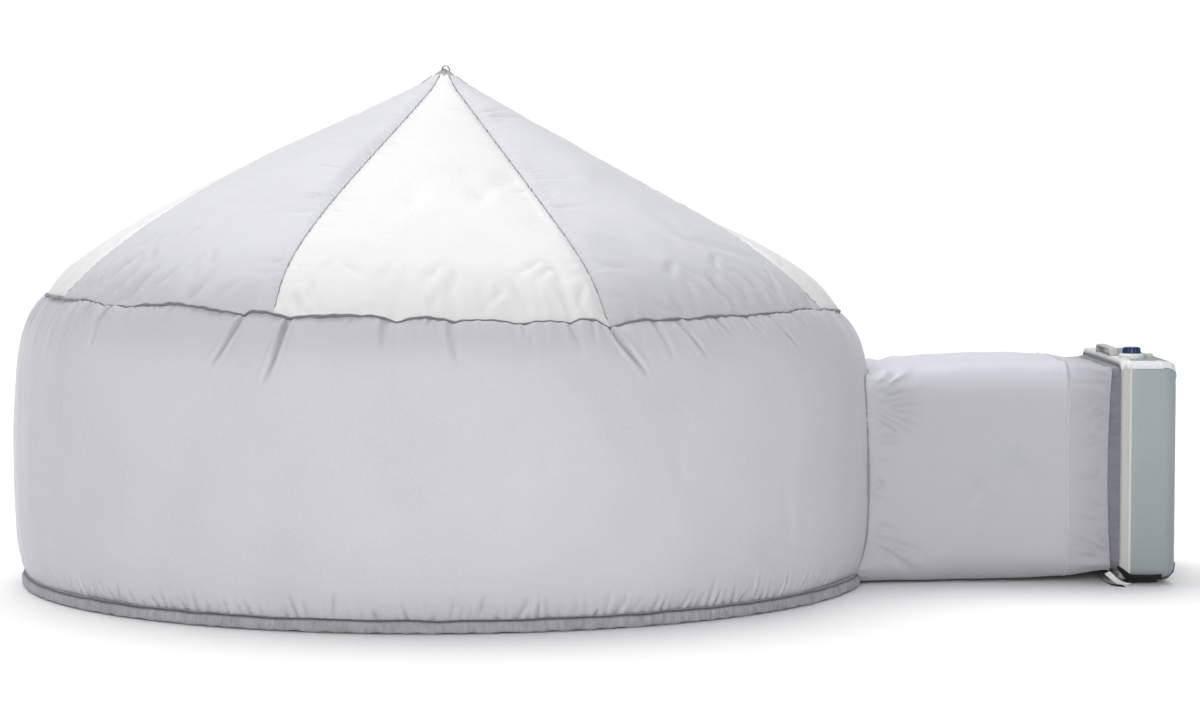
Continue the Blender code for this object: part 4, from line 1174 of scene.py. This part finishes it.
def build_knob():
    """The ribbed speed knob with its pointer, and the marks on the dial under it."""
    low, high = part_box("control_knob")
    centre = (low + high) / 2
    radius = (high.x - low.x) / 2
    tall = high.z - low.z
    profile = [(0.15, 1.0), (0.70, 1.0), (0.80, 0.985), (0.86, 0.94), (0.90, 0.86), (0.93, 0.70)]
    profile += [(0.965, 0.30), (1.0, 0.06), (0.995, 0.0), (0.15, 0.0)]
    angle = full_turn(240)
    rows = []
    for share, rise in profile:
        rib = 0.0007 * np.maximum(0, np.cos(20 * angle)) * (0.05 < rise < 0.9)
        reach = radius * share - 0.0004 + rib
        rows.append(about_z(reach, angle, low.z + tall * rise) + (centre.x, centre.y, 0.0))
    cap = grid_mesh("knob_cap", np.array(rows)[::-1], closed=True)
    close_ends(cap)
    cap.data.set_sharp_from_angle(angle=math.radians(50))
    piece(cap, SELECTOR, PLASTIC_NAVY, "blue_plastic", "control_knob")
    pointer = small_block("knob_pointer", (0.0016, radius * 0.62, 0.0008))
    pointer.location = (centre.x, centre.y - radius * 0.5, high.z + 0.0002)
    piece(pointer, SELECTOR, PLASTIC_WHITE, "white_plastic")
    plate_low, plate_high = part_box("knob_plate")
    marks = []
    for step in range(4):
        angle = math.radians(-90 - 45 * step)
        mark = small_block(f"dial_mark_{step}", (0.0026, 0.0009, 0.0004))
        reach = (plate_high.x - plate_low.x) / 2 - 0.0062
        mark.location = (centre.x + reach * math.cos(angle), centre.y + reach * math.sin(angle), plate_high.z)
        mark.rotation_euler.z = angle
        bpy.context.view_layer.update()
        mark.data.transform(mark.matrix_world)
        mark.location = (0, 0, 0)
        mark.rotation_euler.z = 0
        marks.append(mark)
    dial = join_meshes("dial_marks", marks)
    piece(dial, ROOT, PLASTIC_DARK, "dark_plastic")


def close_ends(obj):
    """Caps the round holes that a turned grid leaves at its two ends."""
    bm = bmesh.new()
    bm.from_mesh(obj.data)
    bmesh.ops.holes_fill(bm, edges=[e for e in bm.edges if e.is_boundary])
    bmesh.ops.recalc_face_normals(bm, faces=bm.faces)
    bm.to_mesh(obj.data)
    bm.free()


def small_block(name, size):
    """A small rounded block."""
    bm = bmesh.new()
    bmesh.ops.create_cube(bm, size=1.0)
    bmesh.ops.scale(bm, vec=size, verts=bm.verts)
    bmesh.ops.bevel(bm, geom=bm.edges, offset=min(size) * 0.3, segments=2, affect="EDGES", profile=0.5)
    mesh = bpy.data.meshes.new(name)
    bm.to_mesh(mesh)
    bm.free()
    mesh.uv_layers.new(name="cloth")
    obj = bpy.data.objects.new(name, mesh)
    bpy.context.scene.collection.objects.link(obj)
    return obj


def build_handle():
    """A moulded bow over the front edge, flat on top and rounded where the hand takes it."""
    low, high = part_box("carry_handle")
    half = (high.y - low.y) / 2
    thick = 0.0062
    bend = 0.012
    foot = low.z + 0.0004
    top = high.z - thick / 2 - 0.0035
    path = [(half - thick / 2, foot), (half - thick / 2, top - bend)]
    for degrees in range(10, 90, 10):
        angle = math.radians(degrees)
        path.append((half - thick / 2 - bend * (1 - math.cos(angle)), top - bend * (1 - math.sin(angle))))
    path += [(share * (half - thick / 2 - bend), top) for share in (1, 0.66, 0.33, 0)]
    right = np.array(path)
    left = right[:-1][::-1] * (-1, 1)
    path = np.concatenate([right, left])
    forward = unit(np.gradient(path, axis=0))
    normal = np.stack([forward[:, 1], -forward[:, 0]], axis=1)
    wide = (high.x - low.x) / 2
    centre_x = (high.x + low.x) / 2
    turn = full_turn(24)
    across = np.sign(np.cos(turn)) * np.abs(np.cos(turn)) ** 0.5
    over = np.sign(np.sin(turn)) * np.abs(np.sin(turn)) ** 0.6
    x = centre_x + wide * across[None, :]
    y = path[:, :1] + normal[:, :1] * over[None, :] * thick / 2
    z = path[:, 1:] + normal[:, 1:] * over[None, :] * thick / 2
    grip = grid_mesh("handle_grip", xyz(x, y, z), closed=True)
    close_ends(grip)
    piece(grip, ROOT, PLASTIC_GREY, "grey_plastic", "carry_handle")


# Materials. The pitches are of nylon's threads and of webbing's ribs, in metres

WEAVE = 0.0009
RIB_PITCH = 0.0016


def add_node(tree, kind, inputs=None, **settings):
    """A shader node with its settings, and its inputs set or linked by name."""
    node = tree.nodes.new(kind)
    for name, value in settings.items():
        setattr(node, name, value)
    for name, value in (inputs or {}).items():
        if isinstance(value, bpy.types.NodeSocket):
            tree.links.new(value, node.inputs[name])
        else:
            node.inputs[name].default_value = value
    return node


def math_node(tree, operation, first, second=0.0):
    return add_node(tree, "ShaderNodeMath", {0: first, 1: second}, operation=operation).outputs[0]


def noise(tree, place, scale, detail=3.0, rough=0.5, **settings):
    inputs = {"Vector": place, "Scale": scale, "Detail": detail, "Roughness": rough}
    return add_node(tree, "ShaderNodeTexNoise", inputs, **settings).outputs["Fac"]


def bands(tree, place, pitch, direction):
    """Ridges a pitch apart along one direction."""
    inputs = {"Vector": place, "Scale": math.pi / 10 / pitch}
    return add_node(tree, "ShaderNodeTexWave", inputs, bands_direction=direction).outputs["Fac"]


def ramp(tree, value, stops):
    """Colours along a value, as (position, colour) stops."""
    node = add_node(tree, "ShaderNodeValToRGB", {"Fac": value})
    elements = node.color_ramp.elements
    while len(elements) < len(stops):
        elements.new(0.5)
    for element, (position, colour) in zip(elements, stops):
        element.position = position
        element.color = (*colour, 1.0)
    return node.outputs["Color"]


def shade(colour, factor):
    return tuple(min(1.0, channel * factor) for channel in colour)


def blank(name, roughness, metallic=0.0, **constants):
    """A material whose constants sit on the shader's own sockets, and its node tree."""
    made = bpy.data.materials.new(name)
    made.use_nodes = True
    shader = made.node_tree.nodes["Principled BSDF"]
    shader.inputs["Roughness"].default_value = roughness
    shader.inputs["Metallic"].default_value = metallic
    for socket, value in constants.items():
        shader.inputs[socket.replace("_", " ")].default_value = value
    return made, made.node_tree


def painted(made, base, roughness, bumps):
    """Links a material's colour, roughness and bumps: each a height, its distance in metres, its strength."""
    tree = made.node_tree
    sockets = tree.nodes["Principled BSDF"].inputs
    tree.links.new(base, sockets["Base Color"])
    tree.links.new(roughness, sockets["Roughness"])
    bump = {}
    for height, distance, strength in bumps:
        bump.update({"Height": height, "Distance": distance, "Strength": strength})
        bump["Normal"] = add_node(tree, "ShaderNodeBump", bump).outputs["Normal"]
    tree.links.new(bump["Normal"], sockets["Normal"])
    return made


def spaces(tree):
    """The object's own coordinates and its cloth's, both in metres."""
    coords = add_node(tree, "ShaderNodeTexCoord")
    return coords.outputs["Object"], coords.outputs["UV"]


def ranged(tree, value, low, high, start=0.0, end=1.0, **settings):
    """A value that runs from start to end, turned into one from low to high."""
    inputs = {"Value": value, "From Min": start, "From Max": end, "To Min": low, "To Max": high}
    return add_node(tree, "ShaderNodeMapRange", inputs, **settings).outputs["Result"]


def weighed(tree, first, second, share):
    """The first value by its share of 1, and the second by the rest."""
    first = math_node(tree, "MULTIPLY", first, share)
    return math_node(tree, "ADD", first, math_node(tree, "MULTIPLY", second, 1 - share))


def plain_weave(tree, uv):
    return math_node(tree, "MAXIMUM", bands(tree, uv, WEAVE, "X"), bands(tree, uv, WEAVE, "Y"))


def stitches(tree, uv, rows, pitch, half_width):
    """1 on dashes along V at the given places across U."""
    parts = add_node(tree, "ShaderNodeSeparateXYZ", {"Vector": uv})
    along = math_node(tree, "FRACT", math_node(tree, "DIVIDE", parts.outputs["Y"], pitch))
    dash = math_node(tree, "LESS_THAN", along, 0.62)
    total = None
    for row in rows:
        away = math_node(tree, "ABSOLUTE", math_node(tree, "SUBTRACT", parts.outputs["X"], row))
        line = math_node(tree, "LESS_THAN", away, half_width)
        total = line if total is None else math_node(tree, "ADD", total, line)
    return math_node(tree, "MULTIPLY", dash, total)


def mixed(tree, factor, first, second):
    node = add_node(tree, "ShaderNodeMix", {"Factor": factor}, data_type="RGBA")
    for index, value in ((6, first), (7, second)):
        if isinstance(value, bpy.types.NodeSocket):
            tree.links.new(value, node.inputs[index])
        else:
            node.inputs[index].default_value = (*value, 1.0)
    return node.outputs[2]


def shaded_by_height(tree, place, base, colour, height_shade):
    """Base with painted shade: darker from one height to another. Its last argument is the two heights and
    the second's share of colour.
    """
    if height_shade is None:
        return base
    clear, dark, factor = height_shade
    height = add_node(tree, "ShaderNodeSeparateXYZ", {"Vector": place}).outputs["Z"]
    near = ranged(tree, height, 0.0, 1.0, clear, dark, interpolation_type="SMOOTHSTEP")
    return mixed(tree, near, base, shade(colour, factor))


def nylon(name, colour, depth=1.0, sheen=0.25, height_shade=None, shade_past_x=None):
    """Thin woven nylon: a fine plain weave, soft crumples, slow changes of tone and painted shade in its
    creases.

    Past the X given as the last argument, the cloth is painted darker, more so over the next 0.1 m: painted
    shade.
    """
    made, tree = blank(name, 0.6, Sheen_Weight=sheen, Sheen_Roughness=0.4, Specular_IOR_Level=0.35)
    place, uv = spaces(tree)
    tone = weighed(tree, noise(tree, place, 2.6, 4.0), noise(tree, place, 170.0, 3.0, 0.75), 0.55)
    base = ramp(tree, tone, [(0.30, shade(colour, 0.90)), (0.50, colour), (0.70, shade(colour, 1.07))])
    # Concave places, such as the hollows of creases and folds, are painted darker: painted shade.
    concave = add_node(tree, "ShaderNodeNewGeometry").outputs["Pointiness"]
    base = mixed(tree, ranged(tree, concave, 0.0, 1.0, 0.497, 0.440), base, shade(colour, 0.60))
    # Painted shade between two heights, where they are given.
    base = shaded_by_height(tree, place, base, colour, height_shade)
    # Painted shade on the cloth past the given X, where the tunnel nears the fan.
    if shade_past_x:
        along = add_node(tree, "ShaderNodeSeparateXYZ", {"Vector": place}).outputs["X"]
        past_seam = ranged(tree, along, 0.25, 1.0, shade_past_x, shade_past_x + 0.10)
        past_seam = math_node(tree, "MULTIPLY", past_seam, math_node(tree, "GREATER_THAN", along, shade_past_x))
        base = mixed(tree, math_node(tree, "MULTIPLY", past_seam, 0.8), base, shade(colour, 0.48))
    rough = ranged(tree, noise(tree, place, 60.0), 0.52, 0.68)
    crumple = noise(tree, place, 16.0, 3.0, 0.55, noise_type="RIDGED_MULTIFRACTAL")
    soft = noise(tree, place, 34.0, 2.0)
    bumps = [(soft, 0.0016 * depth, 0.35), (crumple, 0.0010 * depth, 0.22)]
    bumps.append((plain_weave(tree, uv), 0.00012, 0.35))
    return painted(made, base, rough, bumps)


def gathered(name, colour, pitch, contrast, line=None):
    """Nylon drawn up into uneven gathers a pitch apart, which run along V, with a dark line near its top."""
    made, tree = blank(name, 0.7, Sheen_Weight=0.2, Sheen_Roughness=0.5, Specular_IOR_Level=0.3)
    place, uv = spaces(tree)
    drawn = {"Vector": uv, "Scale": (1 / pitch, 0.28 / pitch, 1.0), "Rotation": (0, 0, 0.12)}
    streaks = noise(tree, add_node(tree, "ShaderNodeMapping", drawn).outputs[0], 1.0, 4.0, 0.6)
    mottle = noise(tree, place, 26.0, 4.0)
    # The colour follows the gathers' bump height, with random mottle mixed in: ridges are painted lighter and
    # hollows darker, painted light and shade.
    stops = [(0.26, shade(colour, 1 - contrast)), (0.5, colour), (0.74, shade(colour, 1 + 0.7 * contrast))]
    base = ramp(tree, weighed(tree, streaks, mottle, 0.5), stops)
    if line is not None:
        across = add_node(tree, "ShaderNodeSeparateXYZ", {"Vector": uv}).outputs["Y"]
        away = math_node(tree, "ABSOLUTE", math_node(tree, "SUBTRACT", across, line))
        base = mixed(tree, ranged(tree, away, 1.0, 0.0, 0.0, 0.0060), base, shade(colour, 0.16))
    crinkles = noise(tree, place, 150.0, 4.0, 0.6)
    bumps = [(streaks, 0.0022, 0.6), (crinkles, 0.0010, 0.4), (plain_weave(tree, uv), 0.00015, 0.3)]
    return painted(made, base, ranged(tree, mottle, 0.6, 0.8), bumps)


def webbing(name, colour, stitch_colour, stitch_rows, sheen=0.3):
    """Woven tape: diagonal ribs, darker between them, with rows of lockstitch along its length."""
    made, tree = blank(name, 0.75, Sheen_Weight=sheen, Sheen_Roughness=0.5, Specular_IOR_Level=0.25)
    place, uv = spaces(tree)
    turned = add_node(tree, "ShaderNodeMapping", {"Vector": uv, "Rotation": (0, 0, math.radians(38))})
    ribs = bands(tree, turned.outputs[0], RIB_PITCH, "X")
    cross = math_node(tree, "MULTIPLY", bands(tree, uv, RIB_PITCH * 0.7, "Y"), 0.4)
    threads = math_node(tree, "MULTIPLY", ribs, math_node(tree, "ADD", cross, 0.6))
    mottle = noise(tree, place, 90.0, 3.0)
    stops = [(0.2, shade(colour, 0.86)), (0.55, colour), (0.85, shade(colour, 1.06))]
    base = ramp(tree, weighed(tree, threads, mottle, 0.5), stops)
    sewn = stitches(tree, uv, stitch_rows, 0.0036, 0.00045)
    base = mixed(tree, sewn, base, stitch_colour)
    bumps = [(threads, 0.0004, 0.6), (sewn, 0.0004, 0.5)]
    return painted(made, base, ranged(tree, mottle, 0.68, 0.82), bumps)


def enamel(name, colour, roughness, grain=900.0, wear=0.0, height_shade=None):
    """Sprayed enamel or moulded plastic: faint orange peel, slow tone changes and fine scuffs."""
    made, tree = blank(name, roughness, Coat_Weight=wear, Coat_Roughness=0.3, Specular_IOR_Level=0.4)
    place, _ = spaces(tree)
    tone = weighed(tree, noise(tree, place, 5.0, 5.0), noise(tree, place, 260.0, 2.0, 0.7), 0.7)
    drawn = add_node(tree, "ShaderNodeMapping", {"Vector": place, "Scale": (6.0, 40.0, 90.0)})
    scratches = noise(tree, drawn.outputs[0], 3.0, 6.0, 0.75)
    base = ramp(tree, tone, [(0.30, shade(colour, 0.93)), (0.52, colour), (0.75, shade(colour, 1.05))])
    # Painted shade between two heights, where they are given.
    base = shaded_by_height(tree, place, base, colour, height_shade)
    rough = ranged(tree, scratches, roughness - 0.07, roughness + 0.10)
    peel = noise(tree, place, grain, 1.0)
    return painted(made, base, rough, [(peel, 0.00008, 0.5), (scratches, 0.00003, 0.3)])


def brushed(name, colour, roughness, along=(1.0, 60.0, 60.0)):
    """Rolled or plated metal with fine lines drawn along one axis."""
    made, tree = blank(name, roughness, metallic=1.0)
    place, _ = spaces(tree)
    drawn = add_node(tree, "ShaderNodeMapping", {"Vector": place, "Scale": along})
    lines = noise(tree, drawn.outputs[0], 14.0, 5.0, 0.7)
    tone = weighed(tree, lines, noise(tree, place, 38.0, 3.0), 0.5)
    base = ramp(tree, tone, [(0.3, shade(colour, 0.78)), (0.55, colour), (0.8, shade(colour, 1.15))])
    rough = ranged(tree, lines, roughness - 0.08, roughness + 0.15)
    return painted(made, base, rough, [(lines, 0.00005, 0.4)])


# The roof nylons are painted darker from about 0.9 m down to the eave, and the wall nylon from 0.56 m up to
# it: painted shade.
NYLON_WHITE = nylon("white nylon", (0.785, 0.785, 0.775), depth=0.8, height_shade=(0.90, 0.66, 0.83))
NYLON_GREY = nylon("grey nylon", (0.620, 0.622, 0.645), height_shade=(0.92, 0.66, 0.74))
NYLON_WALL = nylon("wall nylon", (0.523, 0.518, 0.546), height_shade=(0.56, 0.69, 0.88))
NYLON_DOOR = nylon("door nylon", (0.525, 0.525, 0.545))
# The tunnel's nylon is painted darker on its sides than on its top, and darker again past its seam towards
# the fan: painted shade. The felled seam's nylon has the same painted side shade.
NYLON_TUNNEL = nylon(
    "tunnel nylon", (0.598, 0.598, 0.652), depth=1.2, height_shade=(0.525, 0.445, 0.67), shade_past_x=TUNNEL_SEAM
)
NYLON_FELL = nylon("felled seam", (0.598, 0.598, 0.648), depth=0.5, height_shade=(0.525, 0.445, 0.69))
NYLON_HEM = gathered("gathered hem", (0.325, 0.33, 0.35), 0.0070, 0.32, line=0.0382)
NYLON_COLLAR = gathered("pleated cuff", (0.155, 0.16, 0.19), 0.0160, 0.10)
FLOOR_CLOTH = nylon("coated floor", (0.26, 0.27, 0.30), depth=0.6, sheen=0.0)
NYLON_SEAM = webbing("roof seam", (0.27, 0.275, 0.30), (0.27, 0.275, 0.30), (0.0,))
APEX_CLOTH = nylon("apex nylon", (0.40, 0.41, 0.42), depth=1.5)
TAPE = webbing("seam tape", (0.16, 0.165, 0.19), (0.28, 0.29, 0.31), (0.0030, 0.0062))
TAPE_DARK = webbing("dark tape", (0.060, 0.066, 0.060), (0.12, 0.13, 0.12), (0.0012, 0.0055))
DOOR_TAPE = webbing("door tape", (0.30, 0.31, 0.34), (0.50, 0.51, 0.54), (0.0030, 0.0190))
WEBBING_WHITE = webbing("white webbing", (0.74, 0.74, 0.75), (0.60, 0.60, 0.62), (0.0025, 0.0220))
WEBBING_BLACK = webbing(
    "black webbing", (0.009, 0.009, 0.010), (0.03, 0.03, 0.035), (0.0020, 0.0250), sheen=0.02
)
# The sage enamel is painted darker from 0.4 m down to the ground: painted shade on the fan's lower sides.
ENAMEL = enamel("sage enamel", (0.254, 0.292, 0.303), 0.42, wear=0.15, height_shade=(0.40, 0.0, 0.87))
# The front moulding is one white plastic, painted darker down its sides than along its top: painted shade on
# the sides, painted light on the top.
BEZEL_TOP = (FAN_HIGH.z - 0.003, FAN_HIGH.z - 0.020)
PLASTIC_BEZEL = enamel("guard moulding", (0.68, 0.68, 0.67), 0.45, grain=1400.0, height_shade=(*BEZEL_TOP, 0.575))
# The rim is painted lighter than the moulding's side wall: a painted highlight along its rounded edge.
PLASTIC_RIM = enamel("guard rim", (0.74, 0.74, 0.73), 0.42, grain=1400.0, height_shade=(*BEZEL_TOP, 0.66))
PLASTIC_WHITE = enamel("white moulding", (0.78, 0.78, 0.765), 0.42, grain=1400.0)
PLASTIC_GREY = enamel("warm grey moulding", (0.46, 0.458, 0.44), 0.50, grain=1200.0)
PLASTIC_DIAL = enamel("dial moulding", (0.66, 0.70, 0.70), 0.38, grain=1400.0)
PLASTIC_NAVY = enamel("navy moulding", (0.0065, 0.024, 0.095), 0.36, grain=1400.0)
PLASTIC_DARK = enamel("dark moulding", (0.030, 0.030, 0.034), 0.48, grain=1300.0)
RUBBER = enamel("lead cover", (0.022, 0.022, 0.022), 0.62, grain=1600.0)
STEEL = brushed("ground steel", (0.55, 0.55, 0.56), 0.30)
ZINC = brushed("zinc plate", (0.46, 0.47, 0.48), 0.42, along=(30.0, 30.0, 4.0))
BRONZE = brushed("sintered bronze", (0.45, 0.30, 0.14), 0.45)

CAD_LOOKS = {
    "venturi_ring": PLASTIC_WHITE,
    "knob_plate": PLASTIC_DIAL,
    "cord_gland": PLASTIC_GREY,
    "foot": PLASTIC_DARK,
    "blade_nut": PLASTIC_DARK,
    "rotary_switch": PLASTIC_DARK,
    "motor_lead": RUBBER,
    "motor_shaft": STEEL,
    "motor_rotor": STEEL,
    "motor_stator": STEEL,
    "switch_shaft": STEEL,
    "motor_": ZINC,
    "rear_screw": ZINC,
    "grille_side_screw": ZINC,
    "strap_hook_top": PLASTIC_DIAL,
    "strap_hook_bottom": PLASTIC_DARK,
    "bearing": BRONZE,
}


def dress_cad_nodes():
    """Gives every CAD node that still shows its own procedural material."""
    for name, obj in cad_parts.items():
        if obj.hide_render:
            continue
        look = next(look for start, look in CAD_LOOKS.items() if name.startswith(start))
        obj.data.materials.clear()
        obj.data.materials.append(look)


# Floor, light and camera


def build_stage():
    """A wide pale floor under the tent."""
    reach = 60.0
    corners = np.array([[(-1, -1, 0), (1, -1, 0)], [(-1, 1, 0), (1, 1, 0)]], float) * reach
    corners[..., 2] = CAD_BOX[0].z - 0.0004
    floor = grid_mesh("floor", corners)
    made, tree = blank("studio floor", 0.9, Specular_IOR_Level=0.0)
    place, _ = spaces(tree)
    colour = ramp(tree, noise(tree, place, 0.7), [(0.3, (0.965, 0.96, 0.95)), (0.7, (0.98, 0.975, 0.965))])
    tree.links.new(colour, tree.nodes["Principled BSDF"].inputs["Base Color"])
    floor.data.materials.append(made)


def add_sun(name, strength, elevation, azimuth, softness, colour):
    """A soft sun. Azimuth 0 shines from the camera's side, and grows towards the left."""
    light = bpy.data.lights.new(name, "SUN")
    light.energy = strength
    light.color = colour
    light.angle = math.radians(softness)
    obj = bpy.data.objects.new(name, light)
    up = math.radians(elevation)
    turn = math.radians(azimuth)
    towards = Vector((-math.sin(turn) * math.cos(up), -math.cos(turn) * math.cos(up), math.sin(up)))
    obj.rotation_euler = towards.to_track_quat("Z", "Y").to_euler()
    bpy.context.scene.collection.objects.link(obj)


def build_light():
    """A soft low key, one from above and behind, an even white sky, and the daylight inside the cloth."""
    add_sun("key", 1.88, 14, 6, 35, (1.0, 0.985, 0.960))
    add_sun("overhead", 2.45, 65, 166, 54, (1.0, 1.0, 1.0))
    glow = bpy.data.lights.new("glow", "POINT")
    glow.energy = 9.0
    glow.shadow_soft_size = 0.25
    inside = bpy.data.objects.new("glow", glow)
    inside.location = (0, 0, 0.72)
    bpy.context.scene.collection.objects.link(inside)
    world = bpy.data.worlds.new("studio")
    world.use_nodes = True
    tree = world.node_tree
    tree.nodes.clear()
    seen = add_node(tree, "ShaderNodeBackground", {"Color": (1, 1, 1, 1), "Strength": 1.05})
    lit = add_node(tree, "ShaderNodeBackground", {"Color": (0.89, 0.92, 1.0, 1), "Strength": 0.295})
    ray = add_node(tree, "ShaderNodeLightPath").outputs["Is Camera Ray"]
    both = add_node(tree, "ShaderNodeMixShader", {0: ray, 1: lit.outputs[0], 2: seen.outputs[0]})
    add_node(tree, "ShaderNodeOutputWorld", {"Surface": both.outputs[0]})
    bpy.context.scene.world = world
    bpy.context.scene.view_settings.view_transform = "Standard"


def build_camera():
    """The view from low in front, a little left of the tent's middle."""
    camera = bpy.data.cameras.new("camera")
    camera.lens = 103.26
    camera.sensor_width = 36.0
    obj = bpy.data.objects.new("camera", camera)
    obj.location = (0.066, -8.381, 1.078)
    obj.rotation_euler = (math.radians(90 - 3.76), 0, math.radians(-2.13))
    bpy.context.scene.collection.objects.link(obj)
    bpy.context.scene.camera = obj


build_camera()
build_wall()
build_gores()
build_roof_seams()
build_eave()
build_apex()
build_hem()
build_ground_sheet()
build_door()
build_tunnel()
build_tunnel_root()
build_collar()
build_straps()
build_housing()
build_bezel()
build_guards()
build_impeller()
build_knob()
build_handle()
dress_cad_nodes()
build_stage()
build_light()
